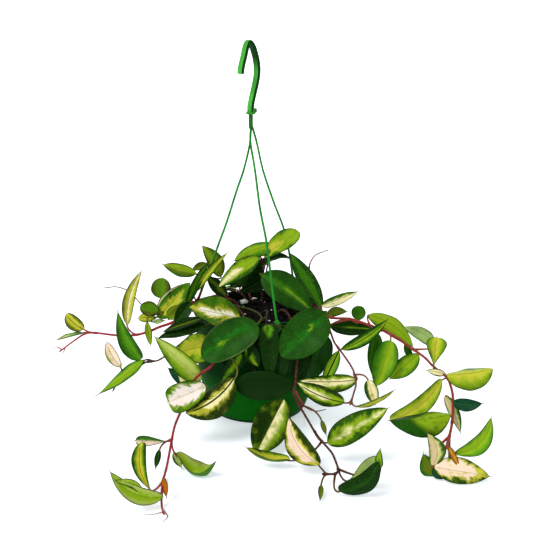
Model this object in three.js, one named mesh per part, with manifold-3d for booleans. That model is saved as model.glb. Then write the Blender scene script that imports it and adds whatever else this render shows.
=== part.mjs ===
// A hoya with long trailing stems in a round plastic hanging pot with its wire hanger.
// Millimetres, +Z up, +Y to the back. The origin is the middle of the pot's underside.
import * as THREE from 'three';
import { mergeVertices } from 'three/addons/utils/BufferGeometryUtils.js';
import Module from 'manifold-3d';

const wasm = await Module();
wasm.setup();

// Pot: a thin tapered shell with a ledge round its mouth and drain holes in its floor.
const POT_HEIGHT = 128;
const LIP_RADIUS = 77;
const LIP_DEPTH = 6;
const WALL_RADIUS = 74.5;
const WALL = 2;
const FLOOR = 2.5;
const FOOT_RADIUS = 56;
const POT_SIDES = 32;
const DRAIN_HOLES = 6;
const DRAIN_RADIUS = 4;
const DRAIN_RING = 38;
const DRAIN_SIDES = 8;
// Radius and height of the wall's bends, outside and inside, from the foot up.
const OUTSIDE = [[60, 8], [66.5, 25], [71.5, 45], [73.5, 60], [WALL_RADIUS, 121]];
const INSIDE = [[64.5, 25], [71.5, 60], [WALL_RADIUS - WALL, 119]];

// Soil: fills the pot with a clearance and is domed towards the middle.
const CLEARANCE = 0.3;
const SOIL_EDGE = 117;
const SOIL_RISE = 7;
const SOIL_RINGS = [1, 0.7, 0.35, 0];

// Hanger: three wires from a stalk to clips over the lip, and a flat strip bent to a hook.
const WIRE_RADIUS = 1.2;
const WIRE_SIDES = 5;
const WIRE_STEPS = 12;
const CLIP_WIDTH = 5;
const CLIP_SHEET = 1.5;
const CLIP_DROP = 9;
const CLIP_ANGLES = [-71.5, 51.5, 170.7];
const STALK = [-6.5, 0];
const STALK_BASE = 340;
const STALK_RADIUS = 2.6;
const COLLAR_BASE = 356;
const COLLAR_HEIGHT = 3;
const COLLAR_RADIUS = 5.5;
const KNOB = 5;
const HOOK_WIDTH = 8;
const HOOK_THICKNESS = 4.5;
const HOOK_STEPS = 20;
const HOOK_TURN = 225;
// The hook's middle line: distance towards its tip, and height.
const HOOK_LINE = [
  [0, 357], [0, 365], [-3, 376], [-8, 391], [-10.5, 404], [-9, 417],
  [-4, 430], [2, 436], [6, 432], [10, 420], [14, 408], [15, 401],
];
const WIRES = [
  [[-6, 0, 346], [-8, 1, 322], [-15, 2, 293], [-24, 3, 267], [-36, 5, 230], [-48, 8, 198], [-58, 10, 168],
    [-63, 11, 158], [-73.5, 12, 129.2]],
  [[-6, 0, 346], [-7, -2, 325], [-2, -10, 295], [4, -22, 251], [11, -38, 218], [16, -52, 183], [21, -67, 145],
    [23.6, -70.6, 129.2]],
  [[-6, 0, 346], [0, 5, 324], [7, 18, 290], [19, 28, 252], [32, 40, 215], [39, 50, 182], [46.4, 58.3, 129.2]],
];

// Leaves: thick blades folded along the midrib, each on a short stalk.
const LEAF_THICKNESS = 1.4;
const PETIOLE_RADIUS = 1.1;
const PETIOLE_SIDES = 3;
const PETIOLE_STEPS = 2;
const PETIOLE_SINK = 0.06;
const FOLD = 20;
const FULLNESS = 0.62;
const POINT = 0.85;
const BROAD = 22;
const BROAD_ROWS = [0.02, 0.16, 0.38, 0.62, 0.84, 0.97];
const NARROW_ROWS = [0.03, 0.3, 0.68, 0.96];
// The way a leaf with no roll turns its face: to the front and a little up.
const FRONT = new THREE.Vector3(0, -0.9703, 0.2419);

// Stems: each starts in a plain hole in the soil.
const STEM_SIDES = 5;
const STEM_STEP = 16;
const HOLE_CLEARANCE = 1.2;
const HOLE_SIDES = 6;

// Every stem with its leaves. A route runs from the root along the middle of the stem. A leaf
// grows from the route point with the number given by at, its blade runs from base to tip, and
// wide is its greatest width. Optional: roll turns the face about the leaf's length, fold lifts
// the margins, sweep and arch bow the midrib across and along the face, hook curls it, full and
// point shape the outline towards the base and the tip. Angles are degrees.
const VINES = [
  {
    name: 'vine_left_long',
    girth: 1.3,
    route: [[-24, 6, 109], [-24, 6, 124], [-32, 2, 134], [-57, -8, 139], [-72, -15, 134], [-86, -21, 124],
      [-100, -25, 115], [-115, -27, 110], [-127, -28, 105], [-143, -30, 101], [-164, -32, 101],
      [-190, -35, 105], [-202, -36, 104], [-214, -38, 97], [-229, -40, 86]],
    leaves: [
      { at: 11, base: [-203, -36, 110], tip: [-222, -38, 129], wide: 18, sweep: -2, full: 0.55, point: 0.5 },
      { at: 11, base: [-205, -34, 105], tip: [-236, -38, 97], wide: 12, roll: 70 },
      { at: 9, base: [-153, -30, 114], tip: [-134, -26, 178], wide: 14, roll: 15, sweep: -9, full: 0.55 },
      { at: 4, base: [-78, -22, 139], tip: [-97, -33, 115], wide: 18 },
    ],
  },
  {
    name: 'vine_left_brown',
    girth: 1.2,
    route: [[-30, -18, 109], [-30, -18, 124], [-34, -24, 134], [-47, -43, 139], [-57, -52, 134],
      [-66, -58, 122], [-78, -63, 109], [-107, -72, 87], [-118, -75, 84], [-124, -76, 84],
      [-143, -80, 73], [-154, -82, 67], [-161, -84, 55]],
    leaves: [
      { at: 8, base: [-132, -78, 87], tip: [-153, -84, 146], wide: 24, fold: 15, sweep: -8, full: 0.4,
        point: 1 },
      { at: 8, base: [-127, -78, 87], tip: [-179, -100, 52], wide: 18, roll: 60, fold: 10, full: 0.45 },
      { at: 11, base: [-152, -86, 81], tip: [-166, -88, 111], wide: 14, sweep: -2, full: 0.6, point: 0.6 },
    ],
  },
  {
    name: 'vine_left_bushy',
    girth: 1.3,
    route: [[-28, 20, 109], [-28, 20, 124], [-36, 13, 134], [-52, 5, 139], [-73, -2, 135], [-88, -9, 126],
      [-102, -16, 118], [-109, -16, 125], [-115, -12, 135]],
    twigs: [
      { girth: 0.7, route: [[-109, -16, 125], [-118, -14, 122], [-128, -12, 125], [-138, -12, 133],
        [-148, -10, 144], [-155, -9, 150], [-168, -8, 154], [-179, -8, 153]] },
    ],
    leaves: [
      { at: 7, base: [-117, -22, 127], tip: [-138, -24, 134], wide: 19, sweep: 1, full: 0.5, point: 0.5 },
      { at: 7, base: [-121, -24, 121], tip: [-140, -28, 121], wide: 12, full: 0.5, point: 0.5 },
      { at: 7, base: [-129, -34, 118], tip: [-125, -37, 90], wide: 9 },
      { at: 7, base: [-123, -27, 116], tip: [-109, -27, 118], wide: 6 },
      { at: 8, base: [-115, -12, 141], tip: [-113, -8, 165], wide: 22, full: 0.5, point: 0.5 },
      { at: 7, base: [-118, -20, 119], tip: [-80, -8, 159], wide: 28, fold: 15 },
      { at: 6, base: [-105, -24, 119], tip: [-91, -24, 136], wide: 15 },
      { at: 4, base: [-73, -3, 169], tip: [-112, -3, 180], wide: 18, roll: 30, fold: -10 },
      { at: 4, base: [-74, -10, 148], tip: [-43, 2, 192], wide: 11, roll: 20, sweep: -3 },
      { at: 4, base: [-84, -14, 132], tip: [-58, -2, 183], wide: 13, roll: 30, sweep: -3 },
    ],
  },
  {
    name: 'vine_back_left',
    girth: 1.4,
    route: [[-14, 32, 109], [-14, 32, 124], [-22, 28, 136], [-40, 20, 144], [-56, 15, 151], [-63, 16, 162]],
    leaves: [
      { at: 5, base: [-63, 22, 176], tip: [-80, 20, 168], wide: 10 },
      { at: 5, base: [-45, 22, 159], tip: [-67, 20, 198], wide: 21, sweep: 4 },
      { at: 3, base: [-38, 5, 140], tip: [-61, 6, 164], wide: 17 },
      { at: 2, base: [-27, 36, 139], tip: [-56, 42, 136], wide: 25, roll: 85 },
    ],
  },
  {
    name: 'vine_centre_back',
    girth: 1.4,
    route: [[6, 22, 109], [6, 22, 124], [5, 18, 136], [5, 18, 149], [7, 20, 168], [5, 22, 177]],
    leaves: [
      { at: 5, base: [2, 12, 185], tip: [-46, -12, 154], wide: 26, roll: 28 },
      { at: 5, base: [24, 25, 194], tip: [-27, 8, 181], wide: 22, roll: 25, fold: -15, sweep: 5 },
      { at: 5, base: [8, 20, 183], tip: [51, 22, 213], wide: 27, roll: -25, sweep: -2 },
      { at: 4, base: [8, 12, 175], tip: [41, 14, 183], wide: 20, roll: -65, sweep: -4, arch: 4 },
      { at: 3, base: [8, 30, 176], tip: [-34, 16, 147], wide: 28 },
      { at: 3, base: [17, 22, 160], tip: [-22, 16, 141], wide: 22 },
    ],
  },
  {
    name: 'vine_centre_right',
    girth: 1.4,
    route: [[34, 2, 109], [34, 2, 124], [34, -4, 134], [39, -8, 144], [51, -5, 155], [61, 2, 172]],
    twigs: [
      { girth: 0.7, route: [[61, 2, 172], [64, 4, 182], [69, 6, 189], [75, 7, 192], [81, 8, 194]] },
    ],
    leaves: [
      { at: 2, base: [6, -22, 172], tip: [65, -56, 136], wide: 38, sweep: -3 },
      { at: 2, base: [40, 8, 138], tip: [60, 36, 139], wide: 24, roll: -80 },
    ],
  },
  {
    name: 'vine_rim_left',
    girth: 1.4,
    route: [[-16, -30, 109], [-16, -30, 124], [-18, -35, 134], [-25, -41, 140], [-34, -49, 142],
      [-44, -58, 138], [-52, -64, 133]],
    leaves: [
      { at: 3, base: [-18, -60, 135], tip: [-76, -74, 141], wide: 46, roll: 40, fold: 12 },
      { at: 3, base: [2, -86, 129], tip: [-61, -100, 97], wide: 37, sweep: 3, full: 0.5, point: 0.6 },
      { at: 6, base: [-50, -78, 110], tip: [-88, -88, 101], wide: 28 },
      { at: 6, base: [-56, -68, 124], tip: [-109, -86, 115], wide: 20, roll: 45 },
      { at: 6, base: [-60, -66, 132], tip: [-104, -82, 121], wide: 16, roll: 50 },
    ],
  },
  {
    name: 'vine_rim_front',
    girth: 1.4,
    route: [[6, -36, 109], [6, -36, 124], [8, -42, 133], [12, -58, 138], [12, -74, 136], [11, -82, 129],
      [6, -81, 113], [-2, -80, 98], [-4, -80, 82], [4, -82, 66], [16, -86, 54]],
    leaves: [
      { at: 5, base: [14, -84, 130], tip: [17, -95, 71], wide: 20, full: 0.4, point: 1 },
      { at: 6, base: [-11, -84, 108], tip: [3, -88, 82], wide: 18 },
      { at: 7, base: [-15, -84, 98], tip: [-38, -92, 67], wide: 18 },
      { at: 9, base: [-24, -94, 63], tip: [46, -94, 62], wide: 35 },
      { at: 10, base: [31, -100, 48], tip: [1, -150, 6], wide: 43, full: 0.7, point: 0.65 },
    ],
  },
  {
    name: 'vine_rim_right',
    girth: 1.4,
    route: [[34, -24, 109], [34, -24, 124], [38, -30, 134], [50, -42, 141], [64, -51, 141], [76, -58, 137]],
    leaves: [
      { at: 5, base: [82, -74, 137], tip: [28, -100, 99], wide: 39, full: 0.5, point: 0.7 },
      { at: 5, base: [74, -45, 141], tip: [116, -45, 158], wide: 14, roll: 20 },
    ],
  },
  {
    name: 'vine_front_left',
    girth: 1.5,
    route: [[-30, -38, 109], [-30, -38, 124], [-31, -44, 131], [-36, -54, 134], [-41, -62, 133],
      [-45, -74, 125], [-47, -86, 110], [-48, -94, 88], [-62, -100, 78], [-70, -106, 70], [-76, -116, 56],
      [-81, -130, 46], [-85, -150, 39], [-86, -172, 33], [-86, -200, 27], [-86, -222, 24], [-87, -240, 20],
      [-87, -252, 12], [-86, -260, 5], [-84, -266, 2]],
    leaves: [
      { at: 9, base: [-61, -108, 73], tip: [-110, -100, 122], wide: 22 },
      { at: 10, base: [-55, -114, 69], tip: [-95, -126, 59], wide: 29, full: 0.45, point: 0.45 },
      { at: 10, base: [-71, -98, 63], tip: [-98, -92, 82], wide: 15 },
      { at: 9, base: [-20, -102, 82], tip: [-74, -128, 46], wide: 39, roll: 30, fold: -20, sweep: -7 },
      { at: 13, base: [-90, -178, 33], tip: [-121, -188, 39], wide: 11, full: 0.55, point: 0.5 },
      { at: 13, base: [-98, -180, 25], tip: [-102, -186, 7], wide: 7 },
      { at: 13, base: [-84, -174, 19], tip: [-76, -180, 5], wide: 9 },
      { at: 13, base: [-80, -182, 22], tip: [-38, -200, 22], wide: 30, roll: -68, fold: 50, arch: -20 },
      { at: 16, base: [-99, -242, 12], tip: [-110, -215, 49], wide: 14, sweep: -6, full: 1.2, point: 0.4 },
      { at: 16, base: [-86, -241, 25], tip: [-83, -248, 8], wide: 7 },
      { at: 17, base: [-86, -257, 12], tip: [-132, -266, 43], wide: 29, roll: 66, fold: 48, arch: -13,
        hook: 6, full: 0.5 },
    ],
  },
  {
    name: 'vine_front',
    girth: 1.6,
    route: [[22, -40, 109], [22, -40, 124], [24, -46, 133], [31, -57, 139], [37, -68, 136], [41, -77, 127],
      [45, -84, 116], [46, -90, 96], [44, -97, 66], [42, -102, 56], [48, -114, 47], [57, -132, 37],
      [64, -147, 30], [71, -160, 25], [80, -178, 21], [83, -192, 19], [85, -206, 16], [82, -212, 14],
      [73, -209, 12]],
    leaves: [
      { at: 18, base: [67, -194, 15], tip: [36, -172, 57], wide: 27, sweep: -8 },
      { at: 13, base: [37, -176, 12], tip: [-8, -180, 27], wide: 19, roll: 66, fold: 48, arch: -8 },
      { at: 17, base: [85, -232, 10], tip: [124, -246, 53], wide: 36, roll: -64, fold: 48, arch: -17, hook: 9,
        full: 0.5 },
      { at: 16, base: [98, -204, 3], tip: [122, -212, 31], wide: 12, sweep: 3 },
      { at: 18, base: [67, -228, 10], tip: [65, -246, 3], wide: 6 },
      { at: 12, base: [77, -162, 24], tip: [137, -178, 70], wide: 31, roll: -28, sweep: 1 },
      { at: 10, base: [72, -128, 35], tip: [77, -132, 20], wide: 6 },
    ],
  },
  {
    name: 'vine_front_right',
    girth: 1.4,
    route: [[44, -12, 109], [44, -12, 124], [46, -20, 132], [52, -34, 136], [60, -46, 136], [70, -56, 133],
      [78, -63, 128], [83, -67, 120], [88, -72, 107], [93, -75, 100], [100, -82, 92], [108, -90, 81],
      [110, -95, 75], [111, -104, 67], [108, -112, 60], [105, -118, 53]],
    leaves: [
      { at: 9, base: [96, -80, 100], tip: [148, -68, 131], wide: 16, sweep: 4 },
      { at: 9, base: [93, -80, 98], tip: [74, -90, 58], wide: 15 },
      { at: 12, base: [124, -108, 74], tip: [131, -120, 51], wide: 16, full: 0.5, point: 0.6 },
      { at: 15, base: [97, -122, 53], tip: [46, -106, 70], wide: 24, roll: 28, sweep: -4 },
      { at: 12, base: [113, -98, 70], tip: [49, -92, 67], wide: 24, roll: 35, fold: -15, sweep: -2 },
      { at: 15, base: [111, -124, 49], tip: [150, -128, 70], wide: 14, roll: 60, sweep: 4 },
    ],
  },
  {
    name: 'vine_right_long',
    girth: 1.5,
    route: [[46, 14, 109], [46, 14, 124], [50, 5, 134], [57, -10, 138], [66, -24, 137], [75, -34, 132],
      [86, -42, 126], [108, -48, 126], [130, -56, 121], [150, -66, 115], [162, -72, 109], [177, -80, 100],
      [189, -88, 93], [197, -96, 86], [207, -106, 80], [211, -112, 77], [214, -122, 67], [213, -134, 60],
      [208, -158, 46], [202, -176, 38], [198, -188, 33]],
    leaves: [
      { at: 5, base: [76, -30, 135], tip: [39, 6, 192], wide: 23, sweep: 1 },
      { at: 6, base: [81, -32, 125], tip: [106, -28, 129], wide: 12, sweep: -3 },
      { at: 7, base: [120, -36, 121], tip: [118, -28, 136], wide: 18, full: 0.5, point: 0.5 },
      { at: 7, base: [86, -36, 113], tip: [138, -32, 108], wide: 23, roll: -32, fold: 10 },
      { at: 8, base: [129, -48, 131], tip: [180, -62, 97], wide: 25, roll: -30, fold: -10, sweep: -7 },
      { at: 11, base: [204, -70, 103], tip: [169, -56, 119], wide: 20, roll: 35, fold: -10, sweep: 4 },
      { at: 9, base: [139, -58, 112], tip: [132, -66, 67], wide: 18 },
      { at: 9, base: [152, -76, 109], tip: [135, -92, 61], wide: 27 },
      { at: 10, base: [169, -68, 102], tip: [178, -70, 83], wide: 9 },
      { at: 11, base: [183, -82, 95], tip: [152, -78, 64], wide: 23 },
      { at: 14, base: [197, -100, 86], tip: [200, -94, 119], wide: 24, full: 1.2, point: 0.4 },
      { at: 14, base: [209, -108, 81], tip: [189, -104, 84], wide: 9 },
      { at: 14, base: [209, -114, 82], tip: [257, -122, 92], wide: 37, roll: -42, fold: -40, sweep: 2,
        full: 0.5 },
      { at: 15, base: [203, -116, 78], tip: [146, -136, 39], wide: 18, sweep: -10 },
      { at: 17, base: [212, -138, 60], tip: [242, -144, 61], wide: 15, sweep: 2 },
      { at: 17, base: [205, -130, 64], tip: [219, -150, 31], wide: 13, sweep: -2 },
      { at: 18, base: [205, -162, 56], tip: [141, -168, 52], wide: 38, roll: 42, fold: -37, sweep: -3 },
      { at: 20, base: [198, -190, 34], tip: [209, -198, 14], wide: 6 },
      { at: 19, base: [183, -194, 13], tip: [177, -186, 46], wide: 19, sweep: 7 },
      { at: 19, base: [184, -196, 13], tip: [238, -206, 8], wide: 28, roll: -25, fold: 10 },
      { at: 20, base: [206, -190, 25], tip: [237, -202, 70], wide: 20, sweep: 10 },
      { at: 19, base: [183, -184, 3], tip: [176, -178, 24], wide: 13, sweep: -4 },
      { at: 19, base: [183, -190, 8], tip: [197, -204, 6], wide: 12, sweep: 1 },
    ],
  },
  {
    name: 'vine_behind_left',
    girth: 1.3,
    route: [[-10, 46, 109], [-10, 46, 124], [-14, 56, 133], [-20, 69, 138], [-24, 82, 132], [-26, 91, 116],
      [-28, 97, 92], [-26, 102, 66], [-28, 106, 44]],
    leaves: [
      { at: 3, base: [-27, 66, 139], tip: [-58, 64, 136], wide: 26, roll: 95 },
      { at: 5, base: [-34, 94, 110], tip: [-58, 92, 78], wide: 24, roll: 180 },
      { at: 5, base: [-18, 94, 108], tip: [4, 96, 76], wide: 25, roll: 180 },
      { at: 7, base: [-33, 104, 62], tip: [-58, 100, 30], wide: 26, roll: 180 },
      { at: 7, base: [-20, 106, 60], tip: [2, 106, 28], wide: 24, roll: 180 },
    ],
  },
  {
    name: 'vine_behind_right',
    girth: 1.3,
    route: [[24, 38, 109], [24, 38, 124], [27, 46, 134], [34, 63, 139], [40, 78, 133], [44, 89, 118],
      [46, 96, 95], [44, 100, 70], [46, 104, 48]],
    leaves: [
      { at: 3, base: [28, 58, 141], tip: [0, 54, 139], wide: 25, roll: 85 },
      { at: 5, base: [51, 90, 112], tip: [62, 84, 76], wide: 24, roll: 180 },
      { at: 5, base: [38, 92, 110], tip: [16, 96, 84], wide: 22, roll: 180 },
      { at: 7, base: [51, 100, 66], tip: [62, 92, 30], wide: 24, roll: 180 },
      { at: 7, base: [38, 104, 64], tip: [22, 106, 30], wide: 24, roll: 180 },
    ],
  },
];

// A closed three.js geometry as a solid that can be joined and cut.
function solid(geometry) {
  const bare = geometry.clone();
  bare.deleteAttribute('normal');
  bare.deleteAttribute('uv');
  const merged = mergeVertices(bare, 1e-4);
  return new wasm.Manifold(new wasm.Mesh({
    numProp: 3,
    vertProperties: new Float32Array(merged.attributes.position.array),
    triVerts: new Uint32Array(merged.index.array),
  }));
}

// The outer skin of a solid as a mesh with a name and a finish.
function mesh(name, body, colour, roughness) {
  const { vertProperties, triVerts } = body.getMesh();
  const geometry = new THREE.BufferGeometry();
  geometry.setAttribute('position', new THREE.BufferAttribute(vertProperties, 3));
  geometry.setIndex(new THREE.BufferAttribute(triVerts, 1));
  geometry.computeVertexNormals();
  const material = new THREE.MeshStandardMaterial({ color: colour, roughness, metalness: 0 });
  const piece = new THREE.Mesh(geometry, material);
  piece.name = name;
  return piece;
}

function join(bodies) {
  return bodies.reduce((sum, body) => sum.add(body));
}

// The largest body that a join made, without hollows sealed in it or scraps beside it.
function largest(body) {
  return body.decompose().reduce((best, next) => (next.volume() > best.volume() ? next : best));
}

function curveThrough(points) {
  return new THREE.CatmullRomCurve3(points.map((p) => new THREE.Vector3(...p)), false, 'catmullrom', 0.5);
}

function regularSection(radius, sides) {
  const corners = [];
  for (let i = 0; i < sides; i += 1) {
    const angle = (i / sides) * 2 * Math.PI;
    corners.push(new THREE.Vector2(radius * Math.cos(angle), radius * Math.sin(angle)));
  }
  return new THREE.Shape(corners);
}

function tube(curve, radius, sides, steps) {
  const settings = { steps, extrudePath: curve, bevelEnabled: false };
  return solid(new THREE.ExtrudeGeometry(regularSection(radius, sides), settings));
}

function lathe(profile) {
  const points = profile.map(([r, z]) => new THREE.Vector2(r, z));
  return solid(new THREE.LatheGeometry(points, POT_SIDES).rotateX(Math.PI / 2));
}

function post(x, y, bottom, top, radius, sides) {
  const rod = new THREE.CylinderGeometry(radius, radius, top - bottom, sides).rotateX(Math.PI / 2);
  return solid(rod.translate(x, y, (bottom + top) / 2));
}

// Half the width of an outline at u, as a share of its greatest: rounded at the base, pointed at the tip.
function outline(u, full, point) {
  const widest = full / (full + point);
  return (u / widest) ** full * ((1 - u) / (1 - widest)) ** point;
}

// A leaf's own directions: along runs from base to tip, face looks out of its upper side,
// and side is across.
function leafFrame(leaf) {
  const base = new THREE.Vector3(...leaf.base);
  const tip = new THREE.Vector3(...leaf.tip);
  const along = tip.clone().sub(base).normalize();
  const face = FRONT.clone().addScaledVector(along, -FRONT.dot(along)).normalize();
  face.applyAxisAngle(along, THREE.MathUtils.degToRad(leaf.roll ?? 0));
  const side = new THREE.Vector3().crossVectors(along, face);
  return { base, tip, along, face, side };
}

// A point of the blade's middle surface: u runs from base to tip, v from -1 to 1 across.
function bladePoint(leaf, frame, u, v) {
  const bow = 4 * u * (1 - u);
  const rise = (leaf.arch ?? 0) * bow + (leaf.hook ?? 0) * bow * (2 * u - 1);
  const half = 0.5 * leaf.wide * outline(u, leaf.full ?? FULLNESS, leaf.point ?? POINT);
  const fold = THREE.MathUtils.degToRad(leaf.fold ?? FOLD);
  return frame.base.clone().lerp(frame.tip, u)
    .addScaledVector(frame.face, rise + half * Math.sin(fold) * Math.abs(v))
    .addScaledVector(frame.side, (leaf.sweep ?? 0) * bow + half * Math.cos(fold) * v);
}

// A blade with its thickness: rows of three points on each face, split into triangles alike.
function blade(leaf, frame) {
  const rows = leaf.wide > BROAD ? BROAD_ROWS : NARROW_ROWS;
  const positions = [];
  for (const u of rows) {
    for (const v of [-1, 0, 1]) {
      for (const level of [-0.5, 0.5]) {
        const p = bladePoint(leaf, frame, u, v).addScaledVector(frame.face, level * LEAF_THICKNESS);
        positions.push(p.x, p.y, p.z);
      }
    }
  }
  const corner = (row, column, level) => (row * 3 + column) * 2 + level;
  const faces = [];
  const quad = (a, b, c, d) => faces.push(a, b, c, a, c, d);
  const last = rows.length - 1;
  for (let row = 0; row < last; row += 1) {
    for (const column of [0, 1]) {
      const [a, b, c, d] = [[row, column], [row, column + 1], [row + 1, column + 1], [row + 1, column]];
      quad(corner(...a, 1), corner(...b, 1), corner(...c, 1), corner(...d, 1));
      faces.push(corner(...c, 0), corner(...b, 0), corner(...a, 0));
      faces.push(corner(...d, 0), corner(...c, 0), corner(...a, 0));
    }
    quad(corner(row, 0, 1), corner(row + 1, 0, 1), corner(row + 1, 0, 0), corner(row, 0, 0));
    quad(corner(row + 1, 2, 1), corner(row, 2, 1), corner(row, 2, 0), corner(row + 1, 2, 0));
  }
  for (const column of [0, 1]) {
    quad(corner(0, column + 1, 1), corner(0, column, 1), corner(0, column, 0), corner(0, column + 1, 0));
    quad(corner(last, column, 1), corner(last, column + 1, 1), corner(last, column + 1, 0),
      corner(last, column, 0));
  }
  const geometry = new THREE.BufferGeometry();
  geometry.setAttribute('position', new THREE.Float32BufferAttribute(positions, 3));
  geometry.setIndex(faces);
  return solid(geometry);
}

// The stalk of a leaf: it leaves the stem, swings into line with the blade and ends in its midrib.
function petiole(leaf, frame, start) {
  const end = bladePoint(leaf, frame, PETIOLE_SINK, 0);
  const turn = frame.base.clone().addScaledVector(frame.along, -0.45 * frame.base.distanceTo(start));
  const curve = new THREE.QuadraticBezierCurve3(start, turn, end);
  return tube(curve, PETIOLE_RADIUS, PETIOLE_SIDES, PETIOLE_STEPS);
}

// A stem with its side shoots, leaf stalks and leaves, grown as one piece.
function vine({ girth, route, leaves, twigs = [] }) {
  const bodies = [{ girth, route }, ...twigs].map((stem) => {
    const curve = curveThrough(stem.route);
    return tube(curve, stem.girth, STEM_SIDES, Math.round(curve.getLength() / STEM_STEP));
  });
  for (const leaf of leaves) {
    const frame = leafFrame(leaf);
    bodies.push(petiole(leaf, frame, new THREE.Vector3(...route[leaf.at])));
    bodies.push(blade(leaf, frame));
  }
  return largest(join(bodies));
}

function pot() {
  const mouth = WALL_RADIUS - WALL;
  let body = lathe([
    [0, 0], [FOOT_RADIUS, 0], ...OUTSIDE,
    [LIP_RADIUS, POT_HEIGHT - LIP_DEPTH], [LIP_RADIUS, POT_HEIGHT], [mouth, POT_HEIGHT],
    ...INSIDE.toReversed(), [FOOT_RADIUS - WALL, FLOOR], [0, FLOOR],
  ]);
  for (let i = 0; i < DRAIN_HOLES; i += 1) {
    const angle = (i / DRAIN_HOLES) * 2 * Math.PI;
    const [x, y] = [DRAIN_RING * Math.cos(angle), DRAIN_RING * Math.sin(angle)];
    body = body.subtract(post(x, y, -1, FLOOR + 1, DRAIN_RADIUS, DRAIN_SIDES));
  }
  return body;
}

function soil() {
  const edge = WALL_RADIUS - WALL - CLEARANCE;
  const wall = INSIDE.slice(0, 2).map(([r, z]) => [r - CLEARANCE, z]);
  const dome = SOIL_RINGS.map((share) => [edge * share, SOIL_EDGE + SOIL_RISE * (1 - share * share)]);
  const bottom = FLOOR + CLEARANCE;
  const above = SOIL_EDGE + SOIL_RISE + 2;
  let body = lathe([[0, bottom], [FOOT_RADIUS - WALL - CLEARANCE, bottom], ...wall, ...dome]);
  for (const { girth, route } of VINES) {
    const [x, y, root] = route[0];
    body = body.subtract(post(x, y, root - CLEARANCE, above, girth + HOLE_CLEARANCE, HOLE_SIDES));
  }
  return body;
}

// A clip bent over the lip, drawn in the plane of radius and height and as wide as the strap.
function clip(degrees) {
  const inside = (WALL_RADIUS - WALL) * Math.cos(Math.PI / POT_SIDES) - CLEARANCE;
  const outside = LIP_RADIUS + CLEARANCE;
  const under = POT_HEIGHT + CLEARANCE;
  const over = under + CLIP_SHEET;
  const foot = POT_HEIGHT - CLIP_DROP;
  const section = new THREE.Shape([
    [inside - CLIP_SHEET, foot], [inside, foot], [inside, under], [outside, under], [outside, foot],
    [outside + CLIP_SHEET, foot], [outside + CLIP_SHEET, over], [inside - CLIP_SHEET, over],
  ].map(([r, z]) => new THREE.Vector2(r, z)));
  const geometry = new THREE.ExtrudeGeometry(section, { depth: CLIP_WIDTH, bevelEnabled: false });
  geometry.translate(0, 0, -CLIP_WIDTH / 2).rotateX(Math.PI / 2).rotateZ(THREE.MathUtils.degToRad(degrees));
  return solid(geometry);
}

// The hook: a flat strip carried along its middle line in an upright plane.
function hook() {
  const line = curveThrough(HOOK_LINE.map(([reach, z]) => [reach, z, 0]));
  const [w, t] = [HOOK_WIDTH / 2, HOOK_THICKNESS / 2];
  const corners = [[-w, -t], [w, -t], [w, t], [-w, t]];
  const section = new THREE.Shape(corners.map(([x, y]) => new THREE.Vector2(x, y)));
  const settings = { steps: HOOK_STEPS, extrudePath: line, bevelEnabled: false };
  const geometry = new THREE.ExtrudeGeometry(section, settings);
  geometry.rotateX(Math.PI / 2).rotateZ(THREE.MathUtils.degToRad(HOOK_TURN)).translate(...STALK, 0);
  return solid(geometry);
}

function hanger() {
  const [x, y] = STALK;
  const wires = WIRES.map((route) => tube(curveThrough(route), WIRE_RADIUS, WIRE_SIDES, WIRE_STEPS));
  const knob = new THREE.BoxGeometry(KNOB, KNOB, KNOB).rotateZ(0.6);
  knob.translate(x + 4, y - 1, COLLAR_BASE + COLLAR_HEIGHT + KNOB / 2 - 1);
  return join([
    hook(), solid(knob), ...wires, ...CLIP_ANGLES.map(clip),
    post(x, y, STALK_BASE, COLLAR_BASE + 1, STALK_RADIUS, 8),
    post(x, y, COLLAR_BASE, COLLAR_BASE + COLLAR_HEIGHT, COLLAR_RADIUS, 12),
  ]);
}

const group = new THREE.Group();
group.name = 'potted_hoya';
group.add(mesh('pot', pot(), 0x0b5c1e, 0.35));
group.add(mesh('soil', soil(), 0x2a1c14, 0.95));
group.add(mesh('hanger', hanger(), 0x3f9d3c, 0.4));
for (const plan of VINES) {
  group.add(mesh(plan.name, vine(plan), 0x5b9424, 0.45));
}

export default group;
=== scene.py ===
"""A potted hoya: trailing stems of two-coloured waxy leaves in a green hanging pot with its wire hanger.

Lengths are millimetres in the CAD frame, and a mesh is scaled to metres as it is made. The origin is
the middle of the pot's underside, +Z is up and the plant is seen from -Y.
"""

from dataclasses import dataclass, field
from itertools import combinations

import bpy
import numpy as np
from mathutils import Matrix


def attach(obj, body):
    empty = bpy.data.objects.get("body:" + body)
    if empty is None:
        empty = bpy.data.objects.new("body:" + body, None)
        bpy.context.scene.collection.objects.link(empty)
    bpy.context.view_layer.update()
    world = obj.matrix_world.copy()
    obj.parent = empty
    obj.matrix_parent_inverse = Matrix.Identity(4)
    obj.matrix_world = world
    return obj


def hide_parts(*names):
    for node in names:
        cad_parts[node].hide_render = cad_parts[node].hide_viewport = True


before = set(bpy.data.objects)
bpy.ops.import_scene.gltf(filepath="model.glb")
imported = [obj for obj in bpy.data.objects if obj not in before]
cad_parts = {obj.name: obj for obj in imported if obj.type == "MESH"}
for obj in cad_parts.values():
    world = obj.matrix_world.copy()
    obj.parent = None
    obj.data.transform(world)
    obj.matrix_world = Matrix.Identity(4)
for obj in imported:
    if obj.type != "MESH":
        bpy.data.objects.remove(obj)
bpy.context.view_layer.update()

METRES_PER_MM = 0.001
UP = np.array([0, 0, 1.0])
SEED = 23
SOIL_SEED = 123
CLEARANCE = 0.3

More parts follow.
